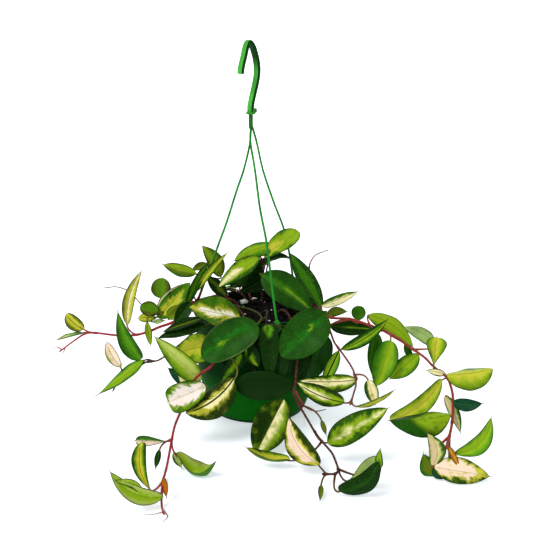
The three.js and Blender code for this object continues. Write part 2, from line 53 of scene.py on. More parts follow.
# Camera and stage in metres, lens and sensor in millimetres: the stage's sides are left, right, near, far
CAMERA_PLACE = (0.023, -1.0, 0.414)
CAMERA_DOWN = 14
CAMERA_LENS = 55.98
CAMERA_SENSOR = 36
STAGE_SIDES = (-6, 6, -3, 2.4)
WALL_HEIGHTS = (-0.5, 5)

# Leaves: FRONT is the way to the camera, and a reach is a share of the blade's length
FRONT = np.array([0, -0.9703, 0.2419])
LEAF_ROWS = 26
LEAF_COLUMNS = 32
LEAF_THICKNESS = 1.5
AWN_LENGTH = 3.0
AWN_HALF = 0.45
AWN_STEPS = (0.35, 0.7, 1.0)
PETIOLE_REACH = 0.06
PETIOLE_RADII = (1.45, 1.05, 0.9)
MIDRIB_REACH = 0.88
MIDRIB_RADII = (0.85, 0.25)
MIDRIB_DROP = 0.5
MARGIN_WAVE = 0.035

# Stems: the heights of their first two points, their sides and steps, and how they lie on the table
STEM_FOOT = 109
STEM_RISE = 124
STEM_STEPS = 9
STEM_SIDES = 12
STALK_SIDES = 10
HAIR_STEPS = 8
HAIR_SIDES = 6
STEM_FINISH = 1
KNOT_SWELL = 0.5
KNOT_SPREAD = 2.2
BUD_LENGTH = 5
TABLE_REST = 0.4
TABLE_ROOM = 2.6

# Pot: OUTSIDE and INSIDE are (radius, height) points of its wall
POT_HEIGHT = 128
LIP_RADIUS = 77
LIP_DEPTH = 6
WALL_RADIUS = 74.5
WALL = 2
POT_FLOOR = 2.5
FOOT_RADIUS = 56
POT_ROUNDING = 0.9
POT_SEGMENTS = 128
DRAIN_HOLES = 6
DRAIN_RADIUS = 4
DRAIN_RING = 38
OUTSIDE = [(60, 8), (66.5, 25), (71.5, 45), (73.5, 60), (74.5, 121)]
INSIDE = [(64.5, 25), (71.5, 60), (72.5, 119)]

# Soil: lumps and white grains with their least and largest radius, and large grains as (x, y, radius)
SOIL_EDGE = 117
SOIL_RISE = 7
SOIL_RADIUS = 72.2
SOIL_SEGMENTS = 144
SOIL_RINGS = 55
SOIL_WAVES = 24
WAVE_RATES = (0.12, 1.1)
WAVE_SIZES = (1.3, 0.28)
SOIL_ROUGHNESS = 0.45
WALL_FADE = 6
LUMPS = 520
LUMP_SIZES = (0.6, 2.6)
GRAINS = 16
GRAIN_SIZES = (0.9, 1.8)
LARGE_GRAINS = [(-6, 54, 5.2), (-17, 24, 5.4), (9, 52, 1.8)]

# Hanger: the hook's line is (distance from the stalk, height), and its shade rises between two heights.
# HOOK_TURN and CLIP_ANGLES are degrees, and KNOB_TURN is radians.
STALK = (-6.5, 0)
STALK_BASE = 340
STALK_RADIUS = 2.6
COLLAR_BASE = 356
COLLAR_HEIGHT = 3
COLLAR_RADIUS = 5.5
KNOB = 5
KNOB_PLACE = (4, -1)
KNOB_TURN = 0.6
WIRE_RADIUS = 1.35
BOSS_RADII = 2.3 * np.array([0.75, 0.95, 1, 1, 0.95, 0.8, 0.5])
HOOK_WIDTH = 8
HOOK_THICKNESS = 4.5
HOOK_TURN = 225
HOOK_SHADE = (402, 420)
HOOK_LINE = [
    (0, 357), (0, 365), (-3, 376), (-8, 391), (-10.5, 404), (-9, 417),
    (-4, 430), (2, 436), (6, 432), (10, 420), (14, 408), (15, 401),
]
WIRES = [
    [(-6, 0, 346), (-8, 1, 322), (-15, 2, 293), (-24, 3, 267), (-36, 5, 230), (-48, 8, 198),
     (-58, 10, 168), (-63, 11, 158), (-73.5, 12, 129.2)],
    [(-6, 0, 346), (-7, -2, 325), (-2, -10, 295), (4, -22, 251), (11, -38, 218), (16, -52, 183),
     (21, -67, 145), (23.6, -70.6, 129.2)],
    [(-6, 0, 346), (0, 5, 324), (7, 18, 290), (19, 28, 252), (32, 40, 215), (39, 50, 182),
     (46.4, 58.3, 129.2)],
]
CLIP_ANGLES = (-71.5, 51.5, 170.7)
CLIP_WIDTH = 5
CLIP_SHEET = 1.5
CLIP_DROP = 9
CLIP_ROUNDING = 1.2

# Colours, as sRGB from 0 to 255: leaves, stems, plastics, and the soil's black, brown, fibres and grains
TINTS = {
    "deep": (15, 46, 6),
    "dark": (28, 78, 9),
    "mid": (30, 104, 20),
    "teal": (18, 72, 50),
    "green": (56, 118, 12),
    "fresh": (88, 148, 20),
    "lime": (138, 172, 26),
    "pale": (184, 200, 98),
    "yellow": (196, 196, 56),
    "olive": (100, 114, 22),
    "sage": (160, 190, 110),
    "cream": (248, 238, 178),
    "pink": (250, 222, 196),
    "blush": (252, 238, 228),
    "white": (252, 248, 224),
    "beige": (222, 200, 150),
    "orange": (196, 104, 24),
    "brown": (110, 58, 34),
}
SKINS = {
    "crimson": (158, 38, 50),
    "umber": (72, 38, 32),
    "brick": (150, 52, 40),
    "maroon": (76, 34, 30),
    "rose": (132, 62, 62),
    "dusk": (26, 24, 14),
    "ash": (150, 104, 104),
    "straw": (120, 110, 90),
}
ROOT_END_DARK = (26, 18, 14)
BARK_PATCH = (62, 34, 24)
PLASTICS = {
    "green_pot_plastic": (8, 90, 10),
    # Pot shades: painted shade up the wall, shade and soil stain inside, a painted contact shadow at the foot
    "painted_wall_shade": (4, 36, 10),
    "inside": (10, 16, 8),
    "foot": (4, 20, 8),
    # One hanger plastic in two copies: a lit one for the hook and a painted-shade one for the wires and clips
    "hanger_plastic_lit": (74, 178, 62),
    "hook_shade": (6, 58, 8),
    "hanger_plastic_shaded": (36, 142, 40),
}
# The soil's black and brown: the mix's own dark colour, darkened further as painted shade under the leaves
SOIL_TINTS = [(4, 4, 3), (15, 12, 9), (34, 24, 17), (246, 244, 238)]


@dataclass
class Leaf:
    """A leaf: the route point it grows from, the ends and width of its blade, and its colours.

    tints names the colours of the rim, the band inside it and the heart, and the last one named serves
    for those left out. reach is how far the heart comes out from the midrib, as a share of the half
    width: one number, or one for the left and one for the right. span is where it starts and stops
    along the blade. jag roughens its outline, blend widens the band and softens both outlines, and
    fleck is the strength of the flecks. edge colours a margin as wide as trim says on the left and
    right. rib colours the midrib and the side veins by the strengths ridge and veins. under and stalk
    colour the underside and the leaf stalk. roll turns the face about the leaf's length, fold lifts the
    margins, sweep and arch bow the midrib, full and point shape the outline.
    """

    at: int
    base: tuple
    tip: tuple
    wide: float
    tints: str
    reach: float | tuple = 0
    span: tuple = (-0.5, 1.5)
    jag: float = 0.25
    blend: float = 0.1
    fleck: float = 0.1
    edge: str = "deep"
    trim: tuple = (0.01, 0.01)
    rib: str = "fresh"
    ridge: float = 0.4
    veins: float = 0.2
    under: str = ""
    stalk: str = ""
    roll: float = 0
    fold: float = 20
    sweep: float = 0
    arch: float = 0
    full: float = 0.62
    point: float = 0.85


@dataclass
class Vine:
    """A leafy stem: its name, skin, radius at both ends, root, the points it runs through and its leaves.

    root is its place (x, y) in the soil. The two points that stand over it come first in the route, and
    a leaf's at counts them. Each twig is a side shoot with its radius at both ends and its points.
    """

    name: str
    skin: str
    girth: tuple
    root: tuple
    route: list
    leaves: list
    twigs: list = field(default_factory=list)

    def __post_init__(self):
        self.route = [(*self.root, STEM_FOOT), (*self.root, STEM_RISE), *self.route]


# Every stem with its leaves, from left to right round the pot
VINES = [
    Vine("vine_left_long", "crimson", (2.4, 0.9), (-24, 6), [
        (-32, 2, 134), (-57, -8, 139), (-72, -15, 134), (-86, -21, 124), (-100, -25, 115),
        (-115, -27, 110), (-127, -28, 105), (-143, -30, 101), (-164, -32, 101), (-190, -35, 105),
        (-202, -36, 104), (-214, -38, 97), (-229, -40, 86),
    ], [
        Leaf(11, (-203, -36, 110), (-222, -38, 129), 18, "olive olive yellow", 0.55, blend=0.3,
             rib="brown", ridge=0.7, veins=0.7, sweep=-2, full=0.55, point=0.5),
        Leaf(11, (-205, -34, 105), (-236, -38, 97), 12, "fresh sage beige", 0.3, span=(0.5, 1.2), roll=70),
        Leaf(9, (-153, -30, 114), (-134, -26, 178), 15, "olive yellow cream", (0.1, 0.35), blend=0.5,
             rib="brown", ridge=0.5, roll=15, sweep=-6, full=0.55),
        Leaf(4, (-78, -22, 139), (-97, -33, 115), 18, "deep dark"),
    ]),
    Vine("vine_left_brown", "umber", (1.2, 0.9), (-30, -18), [
        (-34, -24, 134), (-47, -43, 139), (-57, -52, 134), (-66, -58, 122), (-78, -63, 109),
        (-107, -72, 87), (-118, -75, 84), (-124, -76, 84), (-143, -80, 73), (-154, -82, 67),
        (-161, -84, 55),
    ], [
        Leaf(8, (-132, -78, 87), (-153, -84, 146), 20, "dark green fresh", (0.3, 0.5), blend=0.4, fold=15,
             sweep=-5, full=0.4, point=1),
        Leaf(8, (-127, -78, 87), (-179, -100, 52), 17, "fresh fresh lime", 0.5, roll=35, fold=10, sweep=-2,
             full=0.8, point=1.5),
        Leaf(11, (-152, -86, 81), (-166, -88, 111), 14, "lime yellow pink", (0.7, 1.1), span=(0.08, 1.1),
             sweep=-2, full=0.6, point=0.6),
    ]),
    Vine("vine_left_bushy", "brick", (1.3, 0.98), (-28, 20), [
        (-36, 13, 134), (-52, 5, 139), (-73, -2, 135), (-88, -9, 126), (-102, -16, 118), (-109, -16, 125),
        (-115, -12, 135),
    ], [
        Leaf(7, (-117, -22, 127), (-138, -24, 134), 19, "dark olive fresh", (0.4, 0.6), blend=0.4,
             stalk="olive", sweep=1, full=0.5, point=0.5),
        Leaf(7, (-121, -24, 121), (-140, -28, 121), 12, "lime yellow", (0.3, 0.8), stalk="olive", full=0.5,
             point=0.5),
        Leaf(7, (-129, -34, 118), (-125, -37, 90), 9, "lime yellow lime", stalk="olive"),
        Leaf(7, (-123, -27, 116), (-109, -27, 118), 6, "sage sage teal", stalk="olive"),
        Leaf(8, (-115, -12, 141), (-113, -8, 165), 25, "dark olive fresh", (0.6, 0.3), blend=0.4, full=0.5,
             point=0.5),
        Leaf(7, (-118, -20, 119), (-80, -8, 159), 28, "green fresh yellow", (0.3, 0.5), span=(0.1, 0.75),
             jag=0.9, blend=0.25, edge="cream", trim=(0.2, 0), fold=15),
        Leaf(6, (-105, -24, 119), (-91, -24, 136), 15, "green lime olive", 0.5, blend=0.4),
        Leaf(4, (-73, -3, 169), (-112, -3, 180), 18, "green olive lime", (0.3, 0.65), blend=0.3, roll=30,
             fold=-10),
        Leaf(4, (-74, -10, 148), (-36, 2, 193), 11, "green lime yellow", (0.3, 0.5), jag=0.3, blend=0.2,
             roll=20, sweep=-3),
        Leaf(4, (-84, -14, 132), (-58, -2, 183), 13, "dark green fresh", (0.5, 0.2), roll=30, sweep=-3),
    ], [
        ((0.9, 0.6), [(-109, -16, 125), (-118, -14, 122), (-128, -12, 125), (-138, -12, 133),
         (-148, -10, 144), (-155, -9, 150), (-168, -8, 154), (-179, -8, 153)]),
    ]),
    Vine("vine_back_left", "umber", (1.4, 1.05), (-14, 32), [
        (-22, 28, 136), (-40, 20, 144), (-56, 15, 151), (-63, 16, 162),
    ], [
        Leaf(5, (-63, 22, 176), (-80, 20, 168), 10, "dark olive", (0.7, 0.3), blend=0.4),
        Leaf(5, (-45, 22, 159), (-67, 20, 198), 21, "dark olive lime", (0.7, 0.3), blend=0.4, sweep=4),
        Leaf(3, (-38, 5, 140), (-61, 6, 164), 17, "deep dark olive", 0.3),
        Leaf(2, (-27, 36, 139), (-56, 42, 136), 25, "dark lime cream", (0.5, 0.4), roll=85),
    ]),
    Vine("vine_centre_back", "maroon", (1.4, 1.05), (6, 22), [
        (5, 18, 136), (5, 18, 149), (7, 20, 168), (5, 22, 177),
    ], [
        Leaf(5, (2, 12, 185), (-46, -12, 154), 26, "dark lime cream", (0.1, 0.55), span=(0.44, 1.1),
             jag=0.3, blend=0.2, roll=28),
        Leaf(5, (24, 25, 197), (-28, 8, 182), 22, "green fresh lime", (0.5, 0.55), jag=0.5, blend=0.3,
             roll=25, fold=-15, sweep=5),
        Leaf(5, (8, 20, 183), (51, 22, 214), 29, "green lime yellow", (0.55, 0.35), span=(-0.2, 0.52),
             jag=0.5, blend=0.3, roll=-25, sweep=-2, full=0.8, point=0.5),
        Leaf(4, (8, 12, 175), (41, 14, 183), 20, "deep dark", roll=-65, sweep=-4, arch=4),
        Leaf(3, (8, 30, 176), (-34, 16, 147), 28, "deep dark"),
        Leaf(3, (17, 22, 160), (-22, 16, 141), 22, "deep deep dark"),
    ]),
    Vine("vine_centre_right", "dusk", (1.4, 1.05), (34, 2), [
        (34, -4, 134), (39, -8, 144), (51, -5, 155), (61, 2, 172),
    ], [
        Leaf(2, (6, -22, 172), (65, -56, 136), 38, "dark green lime", (0.1, 0.05), span=(0.42, 0.9),
             jag=0.12, ridge=0.25, sweep=-3),
        Leaf(2, (40, 8, 138), (60, 36, 139), 24, "dark green cream", (0.4, 0.3), roll=-80),
    ], [
        ((1, 0.65), [(61, 2, 172), (64, 4, 182), (69, 6, 189), (75, 7, 192), (81, 8, 194)]),
    ]),
    Vine("vine_rim_left", "umber", (1.4, 1.05), (-16, -30), [
        (-18, -35, 134), (-25, -41, 140), (-34, -49, 142), (-44, -58, 138), (-52, -64, 133),
    ], [
        Leaf(3, (-17.7, -68, 132.5), (-74.3, -79, 149), 43, "green yellow white", (0.2, 0.24),
             span=(0.1, 0.82), jag=0.5, blend=0.16, roll=40, fold=12),
        Leaf(3, (2, -86, 131), (-59, -100, 97), 43, "dark mid lime", (0.04, 0.14), span=(0.52, 0.7),
             jag=0.5, blend=0.08, fleck=0.12, edge="sage", trim=(0.05, 0.04), ridge=0.15, stalk="deep",
             sweep=3, full=0.45, point=0.5),
        Leaf(6, (-46, -80, 106), (-90, -88, 99), 36, "green lime yellow", (0.45, 0.6), span=(-0.3, 0.9),
             jag=0.8, blend=0.3),
        Leaf(6, (-56, -68, 124), (-109, -86, 115), 20, "deep dark olive", roll=45),
        Leaf(6, (-60, -66, 132), (-104, -82, 121), 16, "deep deep olive", (0.05, 0.2), stalk="deep",
             roll=50),
        Leaf(4, (-38, -74, 121), (-34, -86, 80), 22, "deep teal dark", ridge=0.1, stalk="deep"),
    ]),
    Vine("vine_rim_front", "dusk", (1.2, 0.9), (6, -36), [
        (8, -42, 133), (12, -58, 138), (12, -74, 136), (11, -82, 129), (6, -81, 113), (-2, -80, 98),
        (-4, -80, 82), (4, -82, 66), (16, -86, 54),
    ], [
        Leaf(5, (14, -84, 130), (17, -95, 71), 24, "deep deep fresh", 0.9, span=(-0.3, 0.12), jag=0.8,
             blend=0.35, ridge=0.1, full=0.3, point=0.8),
        Leaf(6, (-11, -84, 108), (3, -88, 82), 18, "deep green lime", (0.1, 0.6), span=(0.1, 0.95),
             jag=0.3, rib="deep"),
        Leaf(7, (-15, -84, 98), (-38, -92, 67), 18, "deep fresh lime", (0.3, 0.1), span=(0.1, 0.7)),
        Leaf(9, (-24, -94, 63), (46, -94, 62), 35, "deep", 0.2, fleck=0, edge="green", trim=(0.03, 0),
             ridge=0.05, veins=0.05),
        Leaf(10, (31, -100, 48), (1, -150, 6), 43, "deep lime cream", (0.36, 0), blend=0.3, rib="deep",
             full=0.7, point=0.65),
        Leaf(5, (31, -84, 122), (38, -92, 76), 17, "deep", ridge=0.1, veins=0.05, stalk="deep", full=0.5),
        Leaf(4, (-4, -82, 124), (-30, -86, 72), 24, "deep deep dark", ridge=0.1, veins=0.05, stalk="deep"),
        Leaf(5, (22, -86, 116), (24, -90, 60), 34, "deep", ridge=0.1, veins=0.05, stalk="deep", full=0.5),
        Leaf(5, (48, -77, 110), (48, -88, 56), 26, "deep", ridge=0.1, veins=0.05, stalk="deep", full=0.5),
    ]),
    Vine("vine_rim_right", "dusk", (1.2, 0.9), (34, -24), [
        (38, -30, 134), (50, -42, 141), (64, -51, 141), (76, -58, 137),
    ], [
        Leaf(5, (78, -74, 140), (28, -100, 99), 49, "dark mid lime", (0.1, 0.06), span=(0.3, 0.4),
             blend=0.06, fleck=0.2, edge="green", trim=(0.05, 0.05), ridge=0.12, full=0.5, point=0.58),
        Leaf(5, (74, -45, 141), (116, -45, 158), 14, "green lime cream", (0.25, 1.1), jag=0.5, blend=0.08,
             roll=20),
        Leaf(5, (60, -64, 122), (52, -78, 70), 20, "deep deep dark", ridge=0.1, stalk="deep"),
        Leaf(5, (80, -60, 110), (65, -60, 56), 27, "dark teal dark", ridge=0.1, veins=0.1, stalk="deep",
             full=0.5),
    ]),
    Vine("vine_front_left", "crimson", (1.7, 1.1), (-30, -38), [
        (-31, -44, 131), (-36, -54, 134), (-41, -62, 133), (-45, -74, 125), (-47, -86, 110),
        (-48, -94, 88), (-62, -100, 78), (-70, -106, 70), (-76, -116, 56), (-81, -130, 46),
        (-85, -150, 39), (-86, -172, 33), (-86, -200, 27), (-86, -222, 24), (-87, -240, 20),
        (-87, -252, 12), (-86, -260, 5), (-84, -266, 2),
    ], [
        Leaf(9, (-61.8, -96, 68.4), (-111, -97, 120.6), 25, "fresh lime pale", (0.3, 0.7), jag=0.3,
             blend=0.3, ridge=0.2, full=0.45, point=0.9),
        Leaf(10, (-55, -114, 69), (-95, -126, 55), 34, "green lime blush", (0.58, 0.66), span=(-0.2, 0.95),
             jag=0.5, blend=0.12, rib="yellow", ridge=0.5, full=0.45, point=0.22),
        Leaf(10, (-73, -82, 57), (-100, -78, 77), 15, "deep teal cream", (0.5, 0.1), span=(-0.2, 0.5)),
        Leaf(6, (-24, -102, 74), (-75, -128, 43), 39, "deep yellow cream", (0.34, 0.2), span=(0, 0.7),
             jag=0.3, blend=0.06, rib="deep", ridge=1.6, stalk="olive", roll=30, fold=-20, sweep=-7,
             point=0.6),
        Leaf(13, (-90, -178, 33), (-121, -188, 39), 12, "green sage pink", (1.1, 0.1), blend=0.05,
             full=1.2, point=0.35),
        Leaf(13, (-98, -180, 25), (-102, -186, 7), 7, "deep dark"),
        Leaf(13, (-84, -174, 19), (-76, -180, 5), 9, "deep pale sage", 0.4),
        Leaf(13, (-80, -182, 22), (-38, -200, 22), 30, "green pale lime", 0.7, blend=0.4, under="mid",
             roll=-68, fold=50, arch=-24),
        Leaf(16, (-99, -242, 12), (-110, -215, 49), 16, "dark lime yellow", (0.35, 0.3), blend=0.2,
             rib="orange", ridge=0.7, sweep=-6, full=0.9, point=0.4),
        Leaf(16, (-86, -241, 25), (-83, -248, 8), 7, "orange orange brown"),
        Leaf(17, (-86, -257, 12), (-132, -266, 43), 18, "green pale lime", 0.6, blend=0.4, veins=0.5,
             roll=15, fold=22, sweep=-8, full=0.42, point=0.75),
        Leaf(17, (-103, -262, 20), (-128, -268, 35), 9, "green pale lime", (0.5, 0.8), sweep=4),
    ]),
    Vine("vine_front", "maroon", (1.5, 1.15), (22, -40), [
        (24, -46, 133), (31, -57, 139), (37, -68, 136), (41, -77, 127), (45, -84, 116), (46, -90, 96),
        (44, -97, 66), (42, -102, 56), (48, -114, 47), (57, -132, 37), (64, -147, 30), (71, -160, 25),
        (80, -178, 21), (83, -192, 19), (85, -206, 16), (82, -212, 14), (73, -209, 12),
    ], [
        Leaf(18, (67, -194, 15), (36, -172, 57), 27, "deep yellow pink", (0.6, 0.25), span=(0.1, 1.1),
             jag=0.4, blend=0.12, rib="brown", sweep=-8),
        Leaf(13, (37, -176, 12), (-8, -180, 27), 19, "dark lime yellow", (0.8, 0.6), under="dark", roll=66,
             fold=48, arch=-8),
        Leaf(17, (84, -236, 8), (121, -244, 42), 21, "deep deep dark", (0.2, 0.1), blend=0.3, rib="dark",
             fold=-16, sweep=9, full=0.42, point=0.55),
        Leaf(16, (94, -216, 8), (121, -226, 40), 19, "fresh pale sage", 0.7, blend=0.4, rib="pale",
             sweep=4, full=1.3, point=0.75),
        Leaf(18, (67, -228, 10), (65, -246, 3), 6, "olive yellow olive"),
        Leaf(12, (77, -162, 24), (137, -178, 70), 31, "dark lime cream", (0.16, 0.14), span=(0.2, 1),
             jag=0.6, blend=0.35, roll=-28, sweep=1),
        Leaf(10, (72, -128, 35), (77, -132, 20), 6, "olive olive yellow"),
        Leaf(16, (124, -240, 35), (122, -244, 56), 8, "green fresh lime", 0.5, sweep=-2),
    ]),
    Vine("vine_front_right", "rose", (1.4, 1.05), (44, -12), [
        (46, -20, 132), (52, -34, 136), (60, -46, 136), (70, -56, 133), (78, -63, 128), (83, -67, 120),
        (88, -72, 107), (93, -75, 100), (100, -82, 92), (108, -90, 81), (110, -95, 75), (111, -104, 67),
        (108, -112, 60), (105, -118, 53),
    ], [
        Leaf(9, (96, -80, 100), (148, -68, 131), 15, "deep green lime", (0.3, 0.45), blend=0.2, rib="deep",
             ridge=0.8, sweep=4),
        Leaf(9, (93, -80, 98), (74, -90, 58), 15, "dark fresh lime", (0.5, 0.6), blend=0.3, rib="deep",
             ridge=1.2),
        Leaf(12, (124, -108, 74), (131, -120, 51), 16, "dark olive cream", (0.8, 0.4), full=0.5,
             point=0.6),
        Leaf(15, (97, -122, 53), (46, -106, 70), 24, "deep lime cream", 0.3, span=(0.3, 1.1), jag=0.35,
             blend=0.2, rib="deep", ridge=1, roll=28, sweep=-4),
        Leaf(12, (113, -98, 70), (49, -92, 67), 24, "deep lime cream", (0.42, 0.34), jag=0.4, blend=0.16,
             rib="deep", ridge=0.8, roll=35, fold=-15, sweep=-2),
        Leaf(15, (111, -124, 49), (150, -128, 70), 14, "green lime yellow", 0.7, roll=60, sweep=4),
    ]),
    Vine("vine_right_long", "brick", (1.5, 1.4), (46, 14), [
        (50, 5, 134), (57, -10, 138), (66, -24, 137), (75, -34, 132), (86, -42, 126), (108, -48, 126),
        (130, -56, 121), (150, -66, 115), (162, -72, 109), (177, -80, 100), (189, -88, 93), (197, -96, 86),
        (207, -106, 80), (211, -112, 77), (214, -122, 67), (213, -134, 60), (208, -158, 46),
        (202, -176, 38), (198, -188, 33),
    ], [
        Leaf(5, (76, -30, 135), (39, 6, 192), 23, "dark dark green", 0.4, fleck=0.8, sweep=1),
        Leaf(6, (81, -32, 125), (106, -28, 129), 12, "olive green", sweep=-3),
        Leaf(7, (120, -36, 121), (118, -28, 136), 18, "green", full=0.5, point=0.5),
        Leaf(7, (86, -36, 113), (138, -32, 108), 23, "deep dark lime", (0.12, 0.05), span=(0.3, 0.95),
             jag=0.1, roll=-32, fold=10),
        Leaf(8, (129, -48, 131), (180, -62, 97), 25, "green lime", (0.8, 0.6), blend=0.3, roll=-30,
             fold=-10, sweep=-7),
        Leaf(11, (204, -70, 103), (169, -56, 119), 20, "sage", roll=35, fold=-10, sweep=4),
        Leaf(9, (139, -58, 112), (132, -66, 67), 18, "dark green dark", (0.5, 0.3), blend=0.3),
        Leaf(9, (152, -76, 109), (135, -92, 61), 30, "green fresh lime", (0.6, 0.2), blend=0.35, full=0.5,
             point=0.7),
        Leaf(10, (169, -68, 102), (178, -70, 83), 9, "dark green"),
        Leaf(11, (183, -82, 95), (152, -78, 64), 23, "green fresh lime", 0.6, blend=0.4),
        Leaf(14, (197, -100, 86), (200, -94, 119), 24, "green lime yellow", 0.5, blend=0.3, full=1.5,
             point=0.4),
        Leaf(14, (209, -108, 81), (189, -104, 84), 9, "dark beige cream", 0.6),
        Leaf(14, (209, -114, 82), (257, -122, 92), 37, "green lime yellow", (0.4, 0.45), jag=0.5,
             blend=0.5, roll=-42, fold=-40, sweep=2, full=0.5, point=0.55),
        Leaf(15, (203, -116, 78), (146, -136, 39), 21, "fresh lime yellow", 0.5, jag=0.5, blend=0.5,
             sweep=-8, full=0.5, point=0.38),
        Leaf(17, (212, -138, 60), (242, -144, 61), 15, "teal deep dark", sweep=2),
        Leaf(17, (205, -130, 64), (219, -150, 31), 13, "dark sage beige", (0.3, 0.8), sweep=-2),
        Leaf(18, (205, -162, 56), (141, -168, 52), 38, "dark dark lime", (0.92, 0.9), span=(-0.6, 0.48),
             jag=0.4, blend=0.5, roll=42, fold=-37, sweep=-3),
        Leaf(20, (198, -190, 34), (209, -198, 14), 7, "orange orange yellow", 0.2),
        Leaf(19, (183, -194, 13), (177, -186, 46), 19, "dark pale beige", (0.85, 0.3), jag=0.5, blend=0.15,
             rib="brown", sweep=7),
        Leaf(19, (184, -196, 13), (238, -206, 8), 28, "dark yellow pink", (0.78, 0.5), span=(-0.2, 0.74),
             jag=0.9, blend=0.14, rib="beige", roll=-25, fold=10),
        Leaf(20, (206, -190, 25), (237, -202, 70), 20, "green fresh lime", (0.7, 0.5), blend=0.3,
             sweep=10),
        Leaf(19, (190, -192, 2), (175, -180, 20), 20, "dark green olive", 0.5, blend=0.3, sweep=-4),
        Leaf(19, (183, -190, 8), (197, -204, 6), 12, "teal deep dark", sweep=1),
    ]),
    Vine("vine_behind_left", "crimson", (1.3, 0.98), (-10, 46), [
        (-14, 56, 133), (-20, 69, 138), (-24, 82, 132), (-26, 91, 116), (-28, 97, 92), (-26, 102, 66),
        (-28, 106, 44),
    ], [
        Leaf(3, (-27, 66, 139), (-58, 64, 136), 26, "dark lime cream", (0.5, 0.3), jag=0.4, roll=95),
        Leaf(5, (-34, 94, 110), (-58, 92, 78), 24, "dark lime cream", (0.35, 0.55), jag=0.4, roll=180),
        Leaf(5, (-18, 94, 108), (4, 96, 76), 25, "dark green lime", (0.4, 0.2), roll=180),
        Leaf(7, (-33, 104, 62), (-58, 100, 30), 26, "green lime yellow", (0.5, 0.4), roll=180),
        Leaf(7, (-20, 106, 60), (2, 106, 28), 24, "dark dark green", 0.4, fleck=0.4, roll=180),
    ]),
    Vine("vine_behind_right", "brick", (1.3, 0.98), (24, 38), [
        (27, 46, 134), (34, 63, 139), (40, 78, 133), (44, 89, 118), (46, 96, 95), (44, 100, 70),
        (46, 104, 48),
    ], [
        Leaf(3, (28, 58, 141), (0, 54, 139), 25, "dark dark lime", 0.1, fleck=0.5, roll=85),
        Leaf(5, (51, 90, 112), (62, 84, 76), 24, "green lime yellow", (0.6, 0.3), roll=180),
        Leaf(5, (38, 92, 110), (16, 96, 84), 22, "dark lime cream", (0.3, 0.6), jag=0.4, roll=180),
        Leaf(7, (51, 100, 66), (62, 92, 30), 24, "dark lime pink", 0.5, jag=0.3, roll=180),
        Leaf(7, (38, 104, 64), (22, 106, 30), 24, "dark green fresh", 0.4, roll=180),
    ]),
]

# Thread-like shoots at the ends of stems: the stem, the points it runs through, its radius and colour
HAIRS = [
    ("vine_left_long", [(-229, -40, 86), (-234, -40, 89), (-240, -40, 89)], 0.8, "crimson"),
    ("vine_left_long", [(-225, -39, 89), (-227, -41, 84), (-229, -42, 81)], 0.7, "crimson"),
    ("vine_front_left", [(-84, -266, 2), (-92, -270, 1.5), (-103, -270, 1)], 0.8, "ash"),
    ("vine_front_left", [(-85, -264, 4), (-79, -274, 1.5), (-82, -284, 1)], 0.9, "ash"),
    ("vine_front_left", [(-76, -115, 57), (-70, -118, 52), (-64, -120, 50)], 0.6, "straw"),
    ("vine_front", [(44, -110, 62), (54, -112, 45), (66, -112, 39), (78, -112, 41)], 1.1, "crimson"),
]


def unit(vectors):
    """Each vector over its length."""
    return vectors / np.linalg.norm(vectors, axis=-1, keepdims=True)


def heading(turn):
    """The level unit vector (cos w, sin w, 0)."""
    return np.array([np.cos(turn), np.sin(turn), 0])


def linear(tint):
    """The linear colour of sRGB bytes: ((c + 0.055) / 1.055) ** 2.4 above 0.04, c / 12.92 below."""
    share = np.array(tint) / 255
    return np.where(share < 0.04045, share / 12.92, ((share + 0.055) / 1.055) ** 2.4)


def blended(first, second, share):
    """Linear colour between two tints."""
    return linear(first) * (1 - share) + linear(second) * share


def curve(points, steps):
    """A smooth line through points a, b, c, d ..., with steps between b and c.

    p(t) = b + (c - a) t / 2 + (a - 2.5 b + 2 c - d / 2) t^2 + (-a + 3 b - 3 c + d) t^3 / 2
    """
    knots = np.array(points, float)
    ends = np.vstack([2 * knots[0] - knots[1], knots, 2 * knots[-1] - knots[-2]])
    a, b, c, d = ends[:-3], ends[1:-2], ends[2:-1], ends[3:]
    t = (np.arange(steps) / steps)[:, None, None]
    line = b + (c - a) * t / 2 + (a - 2.5 * b + 2 * c - d / 2) * t**2
    line = line + (-a + 3 * b - 3 * c + d) * t**3 / 2
    return np.vstack([line.transpose(1, 0, 2).reshape(-1, 3), knots[-1]])


def rounded(points, radius, steps=5):
    """A line whose corners c are bends (1 - t)^2 p + 2 t (1 - t) c + t^2 q, p and q at radius from c."""
    points = np.array(points, float)
    before, corner, after = points[:-2], points[1:-1], points[2:]
    back, on = before - corner, after - corner
    room = 0.45 * np.minimum(np.linalg.norm(back, axis=1), np.linalg.norm(on, axis=1))
    cut = np.minimum(radius, room)[:, None]
    start, stop = corner + unit(back) * cut, corner + unit(on) * cut
    t = np.linspace(0, 1, steps)[:, None, None]
    bends = (1 - t) ** 2 * start + 2 * t * (1 - t) * corner + t**2 * stop
    return np.vstack([points[0], bends.transpose(1, 0, 2).reshape(-1, points.shape[1]), points[-1]])


def ring(sides, width=1.0, height=1.0, square=1.0):
    """A closed outline (width sign(cos w) |cos w|^square, height sign(sin w) |sin w|^square)."""
    turn = np.arange(sides) / sides * 2 * np.pi
    x, y = np.cos(turn), np.sin(turn)
    return np.column_stack([
        width * np.sign(x) * np.abs(x) ** square,
        height * np.sign(y) * np.abs(y) ** square,
    ])


def grid_faces(rows, columns):
    """The four-cornered faces between rows of a grid that closes on itself sideways."""
    row, column = np.arange(rows - 1)[:, None] * columns, np.arange(columns)[None]
    after = (column + 1) % columns
    corners = [row + column, row + after, row + columns + after, row + columns + column]
    return np.stack(corners, axis=-1).reshape(-1, 4)


def spread_rows(value, rows, columns):
    """One vector for a whole bar, for each row of it or for each of its points, given to each point."""
    value = np.atleast_2d(np.asarray(value, float))
    if len(value) == rows * columns:
        return value
    return np.repeat(np.broadcast_to(value, (rows, 3)), columns, axis=0)


